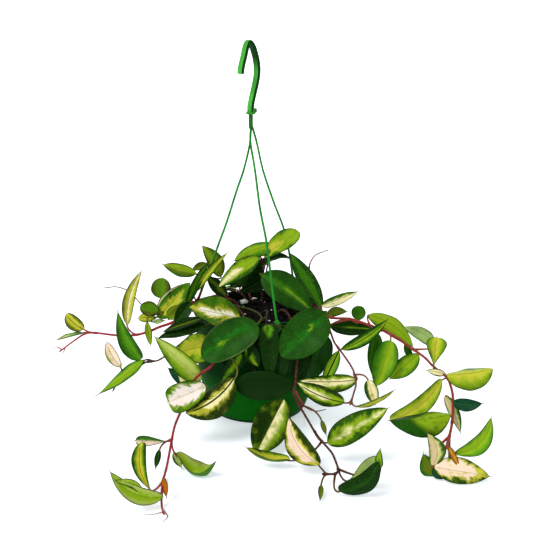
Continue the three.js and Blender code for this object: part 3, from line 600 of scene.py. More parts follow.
class Form:
    """A mesh in the making: closed surfaces, and a vector at each vertex for each named layer."""

    def __init__(self, *layers):
        self.layers = {name: [] for name in layers}
        self.points, self.corners, self.sizes, self.finishes = [], [], [], []
        self.count = 0

    def add(self, points, faces, finish=0, **layers):
        """Adds points in millimetres and blocks of faces, each an array with a row for each face."""
        for block in faces:
            block = np.atleast_2d(block)
            self.corners.append((block + self.count).ravel())
            self.sizes.append(np.full(len(block), block.shape[1]))
            self.finishes.append(np.full(len(block), finish))
        for name, kept in self.layers.items():
            kept.append(np.broadcast_to(layers.get(name, 0.0), (len(points), 3)))
        self.points.append(points)
        self.count += len(points)

    def rings(self, points, finish=0, **layers):
        """A closed surface with flat ends, through the rings of an array (rings, points, 3)."""
        rows, columns = points.shape[:2]
        first = np.arange(columns)
        caps = [first[::-1], first + (rows - 1) * columns]
        given = {name: spread_rows(value, rows, columns) for name, value in layers.items()}
        self.add(points.reshape(-1, 3), [grid_faces(rows, columns), *caps], finish, **given)

    def sweep(self, line, section, size=1.0, side=None, finish=0, **layers):
        """A closed bar: line + size (a x + b y) for each (x, y) of the section, a and b square to it."""
        line = np.asarray(line, float)
        forward = unit(np.gradient(line, axis=0))
        side = np.linalg.eigh(forward.T @ forward)[1][:, 0] if side is None else np.array(side, float)
        a = np.empty_like(forward)
        for row, way in enumerate(forward):
            side = unit(side - way * (side @ way))
            a[row] = side
        b = np.cross(forward, a)
        size = np.broadcast_to(size, len(line))[:, None, None]
        spread = a[:, None] * section[None, :, :1] + b[:, None] * section[None, :, 1:]
        self.rings(line[:, None] + size * spread, finish, **layers)

    def turned(self, profile, segments, lift=None):
        """A body turned about the upright axis: (r cos w, r sin w, h) for each (r, h) of a profile.

        The profile starts and ends on the axis, and lift(x, y, h) gives each point its own height.
        """
        turn = np.arange(segments) / segments * 2 * np.pi
        radius, height = np.array(profile, float).T
        x, y = radius[1:-1, None] * np.cos(turn), radius[1:-1, None] * np.sin(turn)
        z = np.broadcast_to(height[1:-1, None], x.shape)
        poles = [(0, 0, height[0]), (0, 0, height[-1])]
        points = np.vstack([np.stack([x, y, z], axis=-1).reshape(-1, 3), poles])
        if lift is not None:
            points[:, 2] = lift(*points.T)
        first = np.arange(segments)
        last, start = first + len(points) - 2 - segments, np.full(segments, len(points) - 2)
        fans = [
            np.column_stack([start, np.roll(first, -1), first]),
            np.column_stack([start + 1, last, np.roll(last, -1)]),
        ]
        self.add(points, [grid_faces(len(x), segments), *fans])

    def make(self, name, finishes):
        """The object with this mesh, its finishes and its layers, in metres."""
        mesh = bpy.data.meshes.new(name)
        points, corners = np.concatenate(self.points), np.concatenate(self.corners)
        sizes = np.concatenate(self.sizes)
        mesh.vertices.add(len(points))
        mesh.vertices.foreach_set("co", (points * METRES_PER_MM).ravel())
        mesh.loops.add(len(corners))
        mesh.loops.foreach_set("vertex_index", corners)
        mesh.polygons.add(len(sizes))
        mesh.polygons.foreach_set("loop_start", np.cumsum(sizes) - sizes)
        mesh.polygons.foreach_set("material_index", np.concatenate(self.finishes))
        for finish in finishes:
            mesh.materials.append(finish)
        for layer, kept in self.layers.items():
            attribute = mesh.attributes.new(layer, "FLOAT_VECTOR", "POINT")
            attribute.data.foreach_set("vector", np.concatenate(kept).ravel())
        mesh.update(calc_edges=True)
        mesh.validate()
        mesh.shade_smooth()
        item = bpy.data.objects.new(name, mesh)
        bpy.context.scene.collection.objects.link(item)
        return item


class Flow:
    """A number or vector that flows through a finish, with the usual signs for sums and products."""

    def __init__(self, finish, socket):
        self.finish, self.socket = finish, socket

    def __add__(self, other):
        return self.finish.math("ADD", self, other)

    def __sub__(self, other):
        return self.finish.math("SUBTRACT", self, other)

    def __rsub__(self, other):
        return self.finish.math("SUBTRACT", other, self)

    def __mul__(self, other):
        return self.finish.math("MULTIPLY", self, other)

    def __truediv__(self, other):
        return self.finish.math("DIVIDE", self, other)

    def __pow__(self, other):
        return self.finish.math("POWER", self, other)

    def __abs__(self):
        return self.finish.math("ABSOLUTE", self)

    __radd__ = __add__


class Finish:
    """A material built from nodes, with one principled shader."""

    def __init__(self, name, roughness, specular=0.3, coat=0.0):
        self.material = bpy.data.materials.new(name)
        self.material.use_nodes = True
        self.tree = self.material.node_tree
        self.surface = self.tree.nodes["Principled BSDF"]
        self.set("Roughness", roughness)
        self.set("Specular IOR Level", specular)
        self.set("Coat Weight", coat)
        self.set("Coat Roughness", 0.25)

    def set(self, socket, value):
        """Gives a socket of the shader a constant or a flow."""
        self.give(self.surface.inputs[socket], value)

    def give(self, socket, value):
        """Links a flow to a socket, or gives it a constant."""
        if isinstance(value, Flow):
            self.tree.links.new(value.socket, socket)
        else:
            socket.default_value = value

    def add(self, kind, settings, inputs, output=0):
        """A node of a kind, with its settings made first, its inputs given, and one output as a flow."""
        node = self.tree.nodes.new(kind)
        for name, value in settings.items():
            setattr(node, name, value)
        for key, value in inputs.items():
            self.give(node.inputs[key], value)
        return Flow(self, node.outputs[output])

    def math(self, operation, *values):
        """A sum, a product or another function of one or two numbers."""
        return self.add("ShaderNodeMath", {"operation": operation}, dict(enumerate(values)))

    def mix(self, share, first, second):
        """The colour first where share is 0 and second where it is 1."""
        first, second = [c if isinstance(c, Flow) else (*c, 1.0) for c in (first, second)]
        settings = {"data_type": "RGBA"}
        return self.add("ShaderNodeMix", settings, {0: share, 6: first, 7: second}, 2)

    def step(self, value, low, high):
        """0 below low, 1 above high and a smooth rise between."""
        settings = {"interpolation_type": "SMOOTHSTEP"}
        return self.add("ShaderNodeMapRange", settings, {0: value, 1: low, 2: high})

    def fall(self, value, low, high):
        """1 below low, 0 above high and a smooth fall between."""
        return 1.0 - self.step(value, low, high)

    def vector(self, x, y, z):
        """The vector of three numbers."""
        return self.add("ShaderNodeCombineXYZ", {}, {0: x, 1: y, 2: z})

    def noise(self, place, scale=1.0, detail=2.0):
        """Soft noise from 0 to 1 at a place."""
        inputs = {"Vector": place, "Scale": scale, "Detail": detail}
        return self.add("ShaderNodeTexNoise", {}, inputs)

    def layer(self, name):
        """The vector that a layer of the mesh holds at each vertex."""
        return self.add("ShaderNodeAttribute", {"attribute_name": name}, {}, "Vector")

    def parts(self, vector):
        """The three numbers of a vector."""
        node = self.tree.nodes.new("ShaderNodeSeparateXYZ")
        self.give(node.inputs[0], vector)
        return [Flow(self, output) for output in node.outputs]

    def place(self):
        """The place on the object, in metres in the CAD frame."""
        return self.add("ShaderNodeTexCoord", {}, {}, "Object")

    def bump(self, height, distance):
        """Leans the surface by a height in millimetres."""
        inputs = {"Strength": 1.0, "Distance": distance * METRES_PER_MM, "Height": height}
        self.set("Normal", self.add("ShaderNodeBump", {}, inputs))


def leaf_finish():
    """Waxy leaf skin: a pale heart inside a green rim, streaks, flecks, side veins and a paler underside.

    across = |y| / half width. A point is heart where across is under reach x window + jag (ragged - 1/2),
    and band where it is under reach + blend + the same rag. ragged is noise drawn out along the side veins.
    """
    skin = Finish("waxy_leaf", 0.42, specular=0.04, coat=0.01)
    step, fall = skin.step, skin.fall
    u, v, upper = skin.parts(skin.layer("place"))
    x, y, seed = skin.parts(skin.layer("ground"))
    left, right, blend = skin.parts(skin.layer("reach"))
    start, stop, jag = skin.parts(skin.layer("span"))
    fleck, ridge, veins = skin.parts(skin.layer("marks"))
    trim_left, trim_right, turned_over = skin.parts(skin.layer("trim"))

    def grain(x, y, offset, detail=3.0):
        """Noise over the flat leaf, whose offset makes it the leaf's own."""
        return skin.noise(skin.vector(x, y, offset), 1.0, detail)

    across, outward = abs(v), abs(y)
    on_right = step(v, -0.02, 0.02)
    reach = left + (right - left) * on_right
    trim = trim_left + (trim_right - trim_left) * on_right
    slant, rise = x - outward * 0.9, outward + x * 0.5
    wander = grain(slant * 0.9, rise * 0.6, seed + on_right * 3.7, 1.0)
    ragged = grain(slant * 2.6, rise * 1.3, seed * 1.7 + on_right * 5.1)
    fine = grain(slant * 9.0, rise * 2.4, seed * 2.3)
    blotch = grain(x * 1.5, y * 1.9, seed * 4.3)
    spots = grain(x * 7.0, y * 7.0, seed * 3.1, 2.0)
    shade = grain(x * 0.7, y * 0.7, seed * 0.7)

    rag = jag * ((ragged - 0.5) * 1.2 + (wander - 0.5) * 1.5 + (fine - 0.5) * 0.4)
    run = u + (wander - 0.5) * 0.16
    fade, soft = blend * 0.5 + 0.03, blend * 0.5 + 0.04
    window = step(run, start - fade, start + fade) * fall(run, stop - fade, stop + fade)
    side_on = step(reach, 0.01, 0.06)
    heart = step(reach * window + rag * side_on * window - across, 0.0 - soft, soft + 0.03)
    heart = heart * step(window, 0.0, 0.3) * side_on
    band = step((reach + blend + 0.06 + rag * 1.4) * side_on - across, -0.08 - soft, soft + 0.08)
    band = band * (side_on * 0.8 + 0.2)
    plain = 1.0 - heart

    swing = skin.math("SINE", (slant + wander * 0.5) * (np.pi / 0.7))
    vein = fall(abs(swing), 0.0, 0.2) * fall(across, 0.75, 0.95)
    midrib = fall(outward / (ridge * 0.07 + 0.02), 0.45, 1.0) * fall(u, 0.8, 0.97)
    inset = outward / skin.math("MAXIMUM", across, 0.05) - outward
    below = fall(upper, 0.35, 0.65)

    base = skin.mix(band, skin.layer("rim"), skin.layer("band"))
    for share, tint in (
        (heart, "heart"),
        (plain * step(fine, 0.3, 0.75) * (band * 0.2 + 0.08), "band"),
        (heart * step(blotch + fine * 0.2, 0.6, 0.82) * 0.6, "band"),
        (step(spots, 0.62, 0.68) * fleck * plain, "sage"),
        (vein * veins * 0.45, "rib"),
        (midrib * ridge, "rib"),
        (step(across + (ragged - 0.5) * 0.06, 0.97 - trim, 1.01 - trim) * 0.9, "edge"),
        (fall(inset + (fine - 0.5) * 0.06, 0.03, 0.15) * 0.85, "deep"),
        # Painted shade: soft patches of deep colour
        (step(shade, 0.42, 0.8) * 0.5 * (1.0 - heart * 0.8), "deep"),
        # Painted shade toward the margins, where the blade curves away
        (step(across + (shade - 0.5) * 0.5, 0.45, 1.1) * 0.4 * (1.0 - heart * 0.7), "deep"),
        # Painted sheen: soft lighter patches in the band's colour
        (fall(shade, 0.25, 0.52) * (0.5 - side_on * 0.35) * plain, "band"),
        (below * turned_over, "under"),
    ):
        base = skin.mix(share, base, linear(TINTS[tint]) if tint in TINTS else skin.layer(tint))
    skin.set("Base Color", base)
    skin.set("Roughness", 0.36 + fine * 0.12 + below * 0.12)
    skin.bump(vein * -0.5 + midrib * -1.2 + wander * 1.2 + fine * 0.35, 0.25)
    return skin.material


def stem_finish():
    """Stem skin: its own colour in patches, with small pale specks."""
    skin = Finish("stem_skin", 0.5, specular=0.12)
    place = skin.place()
    patches = skin.noise(place, 160.0, 3.0)
    specks = skin.noise(place, 900.0, 1.0)
    base = skin.mix(skin.step(patches, 0.4, 0.7) * 0.35, skin.layer("bark"), linear(BARK_PATCH))
    base = skin.mix(skin.step(specks, 0.6, 0.7) * 0.15, base, linear(TINTS["beige"]))
    skin.set("Base Color", base)
    skin.bump(patches * 0.8 + specks * 0.3, 0.3)
    return skin.material


def plastic_finish(name, roughness, specular, rub, painted_shade_and_stain=False, shaded=False):
    """Moulded plastic: one colour, a little cloudier in places, with a faint grain.

    With the pot's flag set it gets painted shade up the wall, where the leaves hang over it, painted shade
    and soil stain on the inner wall above the soil, and a painted contact shadow along the foot. shaded is
    darker by painted shade where the shade layer says. rub is how much rougher the clouds are.
    """
    skin = Finish(name, roughness, specular=specular)
    place = skin.place()
    cloud = skin.noise(place, 25.0, 2.0)
    grain = skin.noise(place, 1400.0, 1.0)
    tint = np.array(PLASTICS[name])
    base = skin.mix(skin.step(cloud, 0.35, 0.7), linear(tint), linear(tint * 0.82))
    if painted_shade_and_stain:
        x, y, z = skin.parts(place)
        away = (x * x + y * y) ** 0.5
        inner, outer = WALL_RADIUS - WALL + 0.2, WALL_RADIUS - 0.5
        inside = skin.fall(away, inner * METRES_PER_MM, outer * METRES_PER_MM)
        # Painted shade up the wall, where the leaves hang over it
        base = skin.mix(skin.step(z, 0.035, 0.065) * 0.8, base, linear(PLASTICS["painted_wall_shade"]))
        # Painted shade and soil stain on the inner wall above the soil
        base = skin.mix(inside * skin.step(z, 0.06, 0.07) * 0.85, base, linear(PLASTICS["inside"]))
        # Painted contact shadow along the foot
        base = skin.mix(skin.fall(z, 0.002, 0.005) * 0.85, base, linear(PLASTICS["foot"]))
    if shaded:
        # Painted shade where the shade layer says
        base = skin.mix(skin.parts(skin.layer("shade"))[0], base, linear(PLASTICS["hook_shade"]))
    skin.set("Base Color", base)
    skin.set("Roughness", roughness + cloud * rub)
    skin.bump(grain, 0.03)
    return skin.material


def soil_finish():
    """Potting mix with brown fibres and white grains, near black: dark mix with painted shade from the
    leaves.
    """
    skin = Finish("potting_mix", 0.9, specular=0.05)
    kind, tone, _ = skin.parts(skin.layer("grain"))
    crumbs = skin.noise(skin.place(), 420.0, 4.0)
    black, brown, fibre, white = [linear(tint) for tint in SOIL_TINTS]
    base = skin.mix(skin.step(crumbs, 0.35, 0.7), black, brown)
    base = skin.mix(kind, skin.mix(tone * 0.7, base, fibre), white)
    skin.set("Base Color", base)
    skin.bump(crumbs, 1.2)
    return skin.material


def leaf_axes(leaf):
    """along = tip - base, face = FRONT made square to along and rolled about it, side = along x face."""
    base, tip = np.array(leaf.base, float), np.array(leaf.tip, float)
    along = unit(tip - base)
    face = unit(FRONT - along * (FRONT @ along))
    roll = np.radians(leaf.roll)
    face = face * np.cos(roll) + np.cross(along, face) * np.sin(roll)
    return base, tip, along, face, np.cross(along, face)


def half_width(leaf, u):
    """wide / 2 (u / w)^full ((1 - u) / (1 - w))^point, w = full / (full + point), and the awn beyond."""
    peak = leaf.full / (leaf.full + leaf.point)
    inside = np.clip(u, 0, 1)
    share = (inside / peak) ** leaf.full * ((1 - inside) / (1 - peak)) ** leaf.point
    beyond = np.clip((u - 1) * np.linalg.norm(np.subtract(leaf.tip, leaf.base)) / AWN_LENGTH, 0, 1)
    return np.maximum(leaf.wide / 2 * share, AWN_HALF * (1 - 0.8 * beyond))


def blade_point(leaf, axes, u, v, wave=0.0):
    """The blade's middle surface, u from base to tip and v from -1 to 1 across.

    bow = 4 u (1 - u), crease = (sqrt(v^2 + 0.04) - 0.2) / (sqrt(1.04) - 0.2)
    point = base + (tip - base) u + side (sweep bow + half cos(fold) v)
      + face (arch bow + half sin(fold) (1.25 crease - 0.25 v^2) + wave v^2)
    """
    base, tip, along, face, side = axes
    u, v = np.asarray(u, float), np.asarray(v, float)
    bow = 4 * u * (1 - u)
    half = half_width(leaf, u)
    fold = np.radians(leaf.fold)
    crease = (np.sqrt(v**2 + 0.04) - 0.2) / (np.sqrt(1.04) - 0.2)
    lift = leaf.arch * bow + wave * v**2 + half * np.sin(fold) * (1.25 * crease - 0.25 * v**2)
    slide = leaf.sweep * bow + half * np.cos(fold) * v
    return base + (tip - base) * u[..., None] + face * lift[..., None] + side * slide[..., None]


def add_blade(form, leaf, draw):
    """A blade as a closed skin: rings about its length whose level runs through both faces.

    v = cos w, level = -sin w, point = middle(u, v) + face thickness / 2 sign(level) |level|^0.8, where the
    thickness falls with (half width / 4 mm)^0.6 toward the ends, down to a quarter
    ripple = sin(7 u + phase) + sin(15 u + phase) / 2, with other phases left and right of the midrib
    """
    axes = leaf_axes(leaf)
    base, tip, along, face, side = axes
    length = np.linalg.norm(tip - base)
    rows = (1 - np.cos(np.linspace(0, np.pi, LEAF_ROWS))) / 2
    u = np.concatenate([rows, 1 + np.array(AWN_STEPS) * AWN_LENGTH / length])[:, None]
    turn = (np.arange(LEAF_COLUMNS) / LEAF_COLUMNS * 2 * np.pi)[None]
    v, level = np.cos(turn), -np.sin(turn)
    half = half_width(leaf, u)
    phase = draw.uniform(0, 2 * np.pi, 3)
    ripple = np.sin(7 * u + phase[0] + np.sign(v) * phase[1]) + 0.5 * np.sin(15 * u + phase[2] * np.sign(v))
    wave = MARGIN_WAVE * leaf.wide * ripple * np.clip(half / (leaf.wide / 2), 0, 1)
    thick = LEAF_THICKNESS / 2 * np.clip((half / 4) ** 0.6, 0.25, 1)
    u, v, level = np.broadcast_arrays(u, v, level)
    points = blade_point(leaf, axes, u, v, wave)
    points = points + face * (thick * np.sign(level) * np.abs(level) ** 0.8)[..., None]
    seed, shift = draw.uniform(0, 60), draw.uniform(0.88, 1.12)
    upper = 0.5 + 0.5 * np.sign(np.round(level, 6))
    x, y = u * length / 10, v * np.broadcast_to(half, v.shape) / 10
    names = leaf.tints.split()
    rim, band, heart = [linear(TINTS[name]) for name in (names + names[-1:] * 2)[:3]]
    under = linear(TINTS[leaf.under]) if leaf.under else 0.5 * rim + 0.5 * linear(TINTS["sage"])
    form.rings(
        points, place=np.stack([u, v, upper], axis=-1).reshape(-1, 3),
        ground=np.stack([x, y, np.full(x.shape, seed)], axis=-1).reshape(-1, 3),
        reach=(*np.broadcast_to(leaf.reach, 2), leaf.blend), span=(*leaf.span, leaf.jag),
        marks=(leaf.fleck, leaf.ridge, leaf.veins), trim=(*leaf.trim, 0.85 if leaf.under else 0.3),
        rim=rim * shift, band=band * shift, heart=heart, under=under,
        rib=linear(TINTS[leaf.rib]), edge=linear(TINTS[leaf.edge]),
    )


def add_stalk(form, leaf, start, skin):
    """A leaf stalk that swings into line with the blade and runs on as the midrib below it.

    (1 - t)^2 start + 2 t (1 - t) turn + t^2 end, and then the middle of the blade MIDRIB_DROP below its face.
    """
    axes = leaf_axes(leaf)
    base, along, face = axes[0], axes[2], axes[3]
    end = blade_point(leaf, axes, PETIOLE_REACH, 0.0) - face * MIDRIB_DROP
    turn = base - along * 0.45 * np.linalg.norm(base - start)
    t = np.linspace(0, 1, 11)[:, None]
    stalk = (1 - t) ** 2 * start + 2 * t * (1 - t) * turn + t**2 * end
    u = np.linspace(PETIOLE_REACH, MIDRIB_REACH, 12)[1:]
    rib = blade_point(leaf, axes, u, np.zeros(len(u))) - face * MIDRIB_DROP
    petiole = np.interp(t[:, 0], [0, 0.2, 1], PETIOLE_RADII)
    size = np.concatenate([petiole, np.linspace(*MIDRIB_RADII, len(u))])
    young = linear(skin)
    green = blended(skin, TINTS["olive"], 0.45)
    pale = linear(TINTS[leaf.rib]) * 0.5 + linear(TINTS["lime"]) * 0.5
    share = np.clip(np.concatenate([t[:, 0] * 0.7, 0.75 + u]), 0, 1)[:, None]
    fading = green + (pale - green) * np.clip((share - 0.7) / 0.3, 0, 1)
    bark = np.where(share < 0.7, young + (green - young) * share / 0.7, fading)
    form.sweep(np.vstack([stalk, rib]), ring(STALK_SIDES), size, finish=STEM_FINISH, bark=bark)


def add_stem(form, girth, route, knots, skin):
    """A stem that tapers to its tip, swells at each leaf joint and ends in a pointed bud.

    radius = first + (last - first) s + swell exp(-(d / spread)^2), s along the stem and d from a joint
    """
    line = curve(route, STEM_STEPS)
    gone = np.concatenate([[0], np.cumsum(np.linalg.norm(np.diff(line, axis=0), axis=1))])
    size = np.interp(gone / gone[-1], [0, 1], girth)
    for knot in knots:
        size = size + KNOT_SWELL * np.exp(-(((gone - gone[knot * STEM_STEPS]) / KNOT_SPREAD) ** 2))
    end = unit(line[-1] - line[-2])
    s = np.linspace(0.15, 1, 7)
    bud = line[-1] + end * (s * BUD_LENGTH)[:, None]
    bulge = size[-1] * (1 + 0.3 * np.sin(np.pi * s)) * np.sqrt(np.clip(1.02 - s**1.6, 0, 1))
    # Darker toward the root end
    toward_tip = np.concatenate([gone / gone[-1], np.ones(len(s))])[:, None]
    toward_tip = np.clip(toward_tip / 0.3, 0, 1) ** 2.5
    bark = blended(skin, ROOT_END_DARK, 0.8) * (1 - toward_tip) + linear(skin) * toward_tip
    line, size = np.vstack([line, bud]), np.concatenate([size, bulge])
    form.sweep(line, ring(STEM_SIDES), size, finish=STEM_FINISH, bark=bark)


def settled(points):
    """Points with those near the table laid on it.

    Below high = rest + room, z becomes rest + room exp((z - high) / room).
    """
    z, high = points[:, 2], TABLE_REST + TABLE_ROOM
    low = TABLE_REST + TABLE_ROOM * np.exp((np.minimum(z, high) - TABLE_REST - TABLE_ROOM) / TABLE_ROOM)
    return np.column_stack([points[:, :2], np.where(z < high, low, z)])


def grow_vine(vine, leaf_skin, stem_skin, draw):
    """One leafy stem as one mesh of closed skins."""
    form = Form("place", "ground", "reach", "span", "marks", "trim", "rim", "band", "heart", "under",
                "rib", "edge", "bark")
    skin = SKINS[vine.skin]
    for leaf in vine.leaves:
        add_blade(form, leaf, draw)
        add_stalk(form, leaf, np.array(vine.route[leaf.at], float), TINTS.get(leaf.stalk, skin))
        # Each leaf takes six random numbers, and the sixth is left over
        draw.uniform()
    add_stem(form, vine.girth, vine.route, sorted({leaf.at for leaf in vine.leaves}), skin)
    for girth, route in vine.twigs:
        add_stem(form, girth, route, [], SKINS["ash"])
    for name, route, size, tint in HAIRS:
        if name == vine.name:
            line = curve(route, HAIR_STEPS)
            taper = np.linspace(size, size * 0.4, len(line))
            form.sweep(line, ring(HAIR_SIDES), taper, finish=STEM_FINISH, bark=linear(SKINS[tint]))
    form.points = [settled(points) for points in form.points]
    item = form.make(vine.name + "_grown", [leaf_skin, stem_skin])
    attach(item, "root")
    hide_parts(vine.name)


def cut_drains(item):
    """Cuts round holes through the floor of the pot."""
    tool = Form()
    for turn in np.arange(DRAIN_HOLES) / DRAIN_HOLES * 2 * np.pi:
        line = DRAIN_RING * heading(turn) + np.array([[0, 0, -2], [0, 0, POT_FLOOR + 2]])
        tool.sweep(line, ring(24), DRAIN_RADIUS, side=(1, 0, 0))
    cutter = tool.make("drain_cutter", [])
    change = item.modifiers.new("drain", "BOOLEAN")
    change.operation, change.solver, change.object = "DIFFERENCE", "EXACT", cutter
    bpy.context.view_layer.update()
    seen = item.evaluated_get(bpy.context.evaluated_depsgraph_get())
    mesh = bpy.data.meshes.new_from_object(seen)
    item.modifiers.clear()
    item.data = mesh
    bpy.data.objects.remove(cutter)


def build_pot():
    """The pot: a thin tapered shell with a rounded ledge round its mouth and drain holes in its floor."""
    profile = [
        (0, 0), (FOOT_RADIUS, 0), *OUTSIDE, (LIP_RADIUS, POT_HEIGHT - LIP_DEPTH), (LIP_RADIUS, POT_HEIGHT),
        (WALL_RADIUS - WALL, POT_HEIGHT), *INSIDE[::-1], (FOOT_RADIUS - WALL, POT_FLOOR), (0, POT_FLOOR),
    ]
    form = Form()
    form.turned(rounded(profile, POT_ROUNDING), POT_SEGMENTS)
    item = form.make("pot_moulded", [plastic_finish("green_pot_plastic", 0.45, 0.015, 0.12, painted_shade_and_stain=True)])
    cut_drains(item)
    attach(item, "root")
    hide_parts("pot")


def lump():
    """The corners and faces of a body with 20 sides.

    The corners are (a, b g, 0) with a and b 1 or -1 and g the golden ratio, turned through the axes. A
    face joins three neighbours, the way round that looks outward.
    """
    golden = (1 + np.sqrt(5)) / 2
    corners = unit(np.array([
        np.roll((a, b * golden, 0), turn) for turn in range(3) for b in (1, -1) for a in (-1, 1)
    ]))
    near = np.linalg.norm(corners[:, None] - corners, axis=2) < 1.1
    sides = [
        (a, b, c) if np.linalg.det(corners[[a, b, c]]) > 0 else (a, c, b)
        for a, b, c in combinations(range(len(corners)), 3) if near[a, b] and near[b, c] and near[a, c]
    ]
    return corners, np.array(sides)


def build_soil(draw):
    """The potting mix: a body turned to the pot's inside, domed and rough on top, with loose crumbs.

    height = edge + rise (1 - (r / R)^2) + sum of seeded waves a cos(k . (x, y) + phase), fading at the wall
    """
    waves = draw.uniform(-1, 1, (SOIL_WAVES, 2)) * np.geomspace(*WAVE_RATES, SOIL_WAVES)[:, None]
    phases = draw.uniform(0, 2 * np.pi, SOIL_WAVES)
    sizes = np.geomspace(*WAVE_SIZES, SOIL_WAVES)

    def rough(x, y, height):
        """The height with the waves added, where it is above the soil's edge."""
        level = (np.cos(x[..., None] * waves[:, 0] + y[..., None] * waves[:, 1] + phases) * sizes).sum(-1)
        inward = np.clip((SOIL_RADIUS - np.hypot(x, y)) / WALL_FADE, 0, 1)
        return height + np.where(height > SOIL_EDGE, SOIL_ROUGHNESS * level * inward, 0)

    radii = np.linspace(1, 0, SOIL_RINGS + 1)[:-1]
    dome = [(SOIL_RADIUS * r, SOIL_EDGE + 0.01 + SOIL_RISE * (1 - r * r)) for r in radii]
    wall = [(radius - CLEARANCE, height) for radius, height in INSIDE[:2]]
    bottom, foot = POT_FLOOR + CLEARANCE, FOOT_RADIUS - WALL - CLEARANCE
    profile = [(0, bottom), (foot, bottom), *wall, *dome, (0, SOIL_EDGE + SOIL_RISE)]
    form = Form("grain")
    form.turned(profile, SOIL_SEGMENTS, rough)
    corners, sides = lump()
    for number in range(LUMPS + GRAINS + len(LARGE_GRAINS)):
        white, large = number >= LUMPS, number - LUMPS - GRAINS
        distance, turn = (SOIL_RADIUS - 4) * np.sqrt(draw.uniform()), draw.uniform(0, 2 * np.pi)
        x, y = distance * np.cos(turn), distance * np.sin(turn)
        size = draw.uniform(*(GRAIN_SIZES if white else LUMP_SIZES))
        if large >= 0:
            x, y, size = LARGE_GRAINS[large]
        spread = np.array([1, 0.8, 0.7]) if large >= 0 else draw.uniform(0.6, 1.3, 3)
        dome_height = SOIL_EDGE + 0.01 + SOIL_RISE * (1 - (x**2 + y**2) / SOIL_RADIUS**2)
        height = rough(np.array([x]), np.array([y]), np.array([dome_height]))[0]
        shape = corners * draw.uniform(0.75, 1.2, (len(corners), 1)) * spread
        points = shape * size + np.array([x, y, height + size * (0.5 if large >= 0 else 0.3)])
        form.add(points, [sides], grain=(1 if white else 0, 0 if white else draw.uniform(0, 0.8), 0))
    item = form.make("potting_mix_heaped", [soil_finish()])
    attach(item, "root")
    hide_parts("soil")


def build_hanger():
    """The hanger: a flat hook strip on a collar and stalk, three wires and three clips bent over the lip."""
    # The hook, collar, stalk and knob take the lit copy; the wires and clips a copy darkened as painted shade
    light, plain = 0, 1
    form = Form("shade")
    reach = heading(np.radians(HOOK_TURN))
    foot = np.array([*STALK, 0.0])
    line = curve([(r, z, 0) for r, z in HOOK_LINE], 8)
    line = foot + line[:, :1] * reach + line[:, 1:2] * UP
    size = np.ones(len(line))
    size[-1] = 0.8
    strap = ring(48, HOOK_WIDTH / 2, HOOK_THICKNESS / 2, 0.3)
    # Painted shade: the flank of the strip, and its underside below the top bend where the front arm shades
    # it
    flank = strap[:, 0] > 0.9 * HOOK_WIDTH / 2
    under_bend = np.clip((line[:, 2] - HOOK_SHADE[0]) / (HOOK_SHADE[1] - HOOK_SHADE[0]), 0, 1)
    under_bend = under_bend * (np.arange(len(line)) < np.argmax(line[:, 2]) + 2)
    shade = np.maximum(flank[None], under_bend[:, None] * (strap[:, 1] < 0)[None])
    shade = np.stack([shade, shade, shade], axis=-1).reshape(-1, 3)
    form.sweep(line, strap, size, side=np.cross(UP, reach), finish=light, shade=shade)
    # Painted shade on the collar, stalk and knob, at the strength dark
    for base, height, radius, rim, dark in (
        (COLLAR_BASE, COLLAR_HEIGHT, COLLAR_RADIUS, 0.6, 0.3),
        (STALK_BASE, COLLAR_BASE + 1 - STALK_BASE, STALK_RADIUS, 0.5, 0.7),
    ):
        levels = np.array([0, rim * 0.3, rim, height - rim, height - rim * 0.3, height])
        post = foot + UP * (base + levels)[:, None]
        taper = radius - rim * np.array([1, 0.3, 0, 0, 0.3, 1])
        form.sweep(post, ring(32), taper, side=reach, finish=light, shade=(dark, dark, dark))
    knob = foot + (*KNOB_PLACE, COLLAR_BASE + COLLAR_HEIGHT - 1) + UP * np.array([0, 0.3, 4.6, KNOB])[:, None]
    section = ring(24, KNOB / 2, KNOB / 2, 0.25)
    taper = [0.9, 1, 1, 0.85]
    form.sweep(knob, section, taper, side=heading(KNOB_TURN), finish=light, shade=(0.5, 0.5, 0.5))
    for route in WIRES:
        wire = curve(route, 12)
        form.sweep(wire, ring(12), WIRE_RADIUS, finish=plain)
        boss = wire[-1] + UP * np.linspace(-0.6, 2.6, len(BOSS_RADII))[:, None]
        form.sweep(boss, ring(16), BOSS_RADII, side=reach, finish=plain)
    inside = (WALL_RADIUS - WALL) * np.cos(np.pi / 32) - CLEARANCE - CLIP_SHEET / 2
    outside = LIP_RADIUS + CLEARANCE + CLIP_SHEET / 2
    top = POT_HEIGHT + CLEARANCE + CLIP_SHEET / 2
    tail = POT_HEIGHT - CLIP_DROP
    bend = rounded([(inside, tail), (inside, top), (outside, top), (outside, tail)], CLIP_ROUNDING)
    for degrees in CLIP_ANGLES:
        way = heading(np.radians(degrees))
        strip = bend[:, :1] * way + bend[:, 1:] * UP
        section = ring(24, CLIP_WIDTH / 2, CLIP_SHEET / 2, 0.3)
        form.sweep(strip, section, side=np.cross(UP, way), finish=plain)
    item = form.make("hanger_moulded", [
        plastic_finish("hanger_plastic_lit", 0.36, 0.07, 0.1, shaded=True),
        plastic_finish("hanger_plastic_shaded", 0.38, 0.12, 0.1),
    ])
    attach(item, "root")
    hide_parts("hanger")


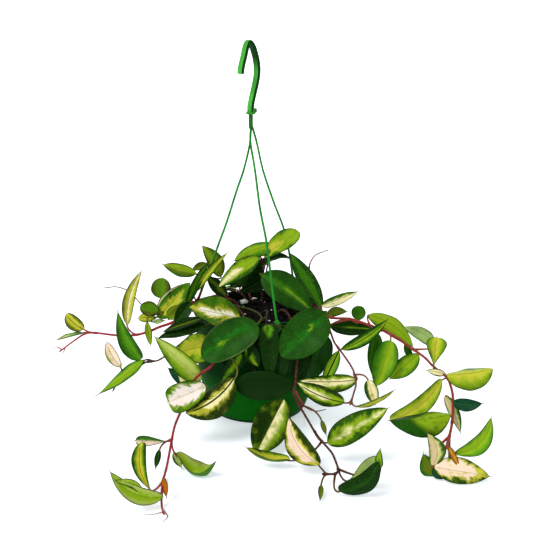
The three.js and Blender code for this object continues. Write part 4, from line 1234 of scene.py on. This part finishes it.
def white_stage():
    """A pale table and wall that give off a little bluish light of their own, so shadows stay soft."""
    left, right, near, far = STAGE_SIDES
    low, high = WALL_HEIGHTS
    for name, corners, roughness, specular, tint, glow, strength in (
        ("table", [(left, near, 0), (right, near, 0), (right, far, 0), (left, far, 0)],
         0.9, 0.1, (0.86, 0.88, 0.92, 1), (0.86, 0.92, 1.0, 1), 0.45),
        ("wall", [(left, far, low), (right, far, low), (right, far, high), (left, far, high)],
         1.0, 0.0, (0.9, 0.9, 0.9, 1), (1, 1, 1, 1), 0.75),
    ):
        finish = Finish("white_" + name, roughness, specular=specular)
        finish.set("Base Color", tint)
        finish.set("Emission Color", glow)
        finish.set("Emission Strength", strength)
        mesh = bpy.data.meshes.new(name)
        mesh.from_pydata(corners, [], [(0, 1, 2, 3)])
        mesh.materials.append(finish.material)
        item = bpy.data.objects.new(name, mesh)
        bpy.context.scene.collection.objects.link(item)


def add_light(name, kind, energy, place, target, **settings):
    """A light at a place that looks at a target."""
    lamp = bpy.data.lights.new(name, kind)
    lamp.energy = energy
    for key, value in settings.items():
        setattr(lamp, key, value)
    item = bpy.data.objects.new(name, lamp)
    item.location = place
    item.rotation_euler = aim(place, target)
    bpy.context.scene.collection.objects.link(item)


def aim(place, target):
    """The turn that points -Z from a place to a target."""
    way = unit(np.subtract(target, place).astype(float))
    return (np.arccos(-way[2]), 0, np.arctan2(way[0], -way[1]) + np.pi)


def light_scene():
    """Soft light from the upper left in front, and a bluish white sky."""
    world = bpy.data.worlds.new("studio")
    world.use_nodes = True
    sky = world.node_tree.nodes["Background"].inputs
    sky["Color"].default_value, sky["Strength"].default_value = (0.98, 1.0, 1.0, 1), 0.3
    bpy.context.scene.world = world
    add_light("key", "SUN", 1.9, (-0.55, -0.6, 1.0), (0, 0, 0), angle=0.4, color=(1.0, 0.98, 0.94))
    add_light("front", "AREA", 4.0, (-0.5, -1.4, 1.0), (0, 0, 0.12), size=0.9)


def place_camera():
    """A camera in front that looks a little down."""
    camera = bpy.data.cameras.new("camera")
    camera.lens, camera.sensor_width = CAMERA_LENS, CAMERA_SENSOR
    item = bpy.data.objects.new("camera", camera)
    item.location = CAMERA_PLACE
    item.rotation_euler = (np.radians(90 - CAMERA_DOWN), 0, 0)
    bpy.context.scene.collection.objects.link(item)
    bpy.context.scene.camera = item
    bpy.context.scene.view_settings.view_transform = "Standard"


leaf_skin, stem_skin = leaf_finish(), stem_finish()
for number, vine in enumerate(VINES):
    grow_vine(vine, leaf_skin, stem_skin, np.random.default_rng(SEED + number))
build_pot()
build_soil(np.random.default_rng(SOIL_SEED))
build_hanger()
white_stage()
light_scene()
place_camera()
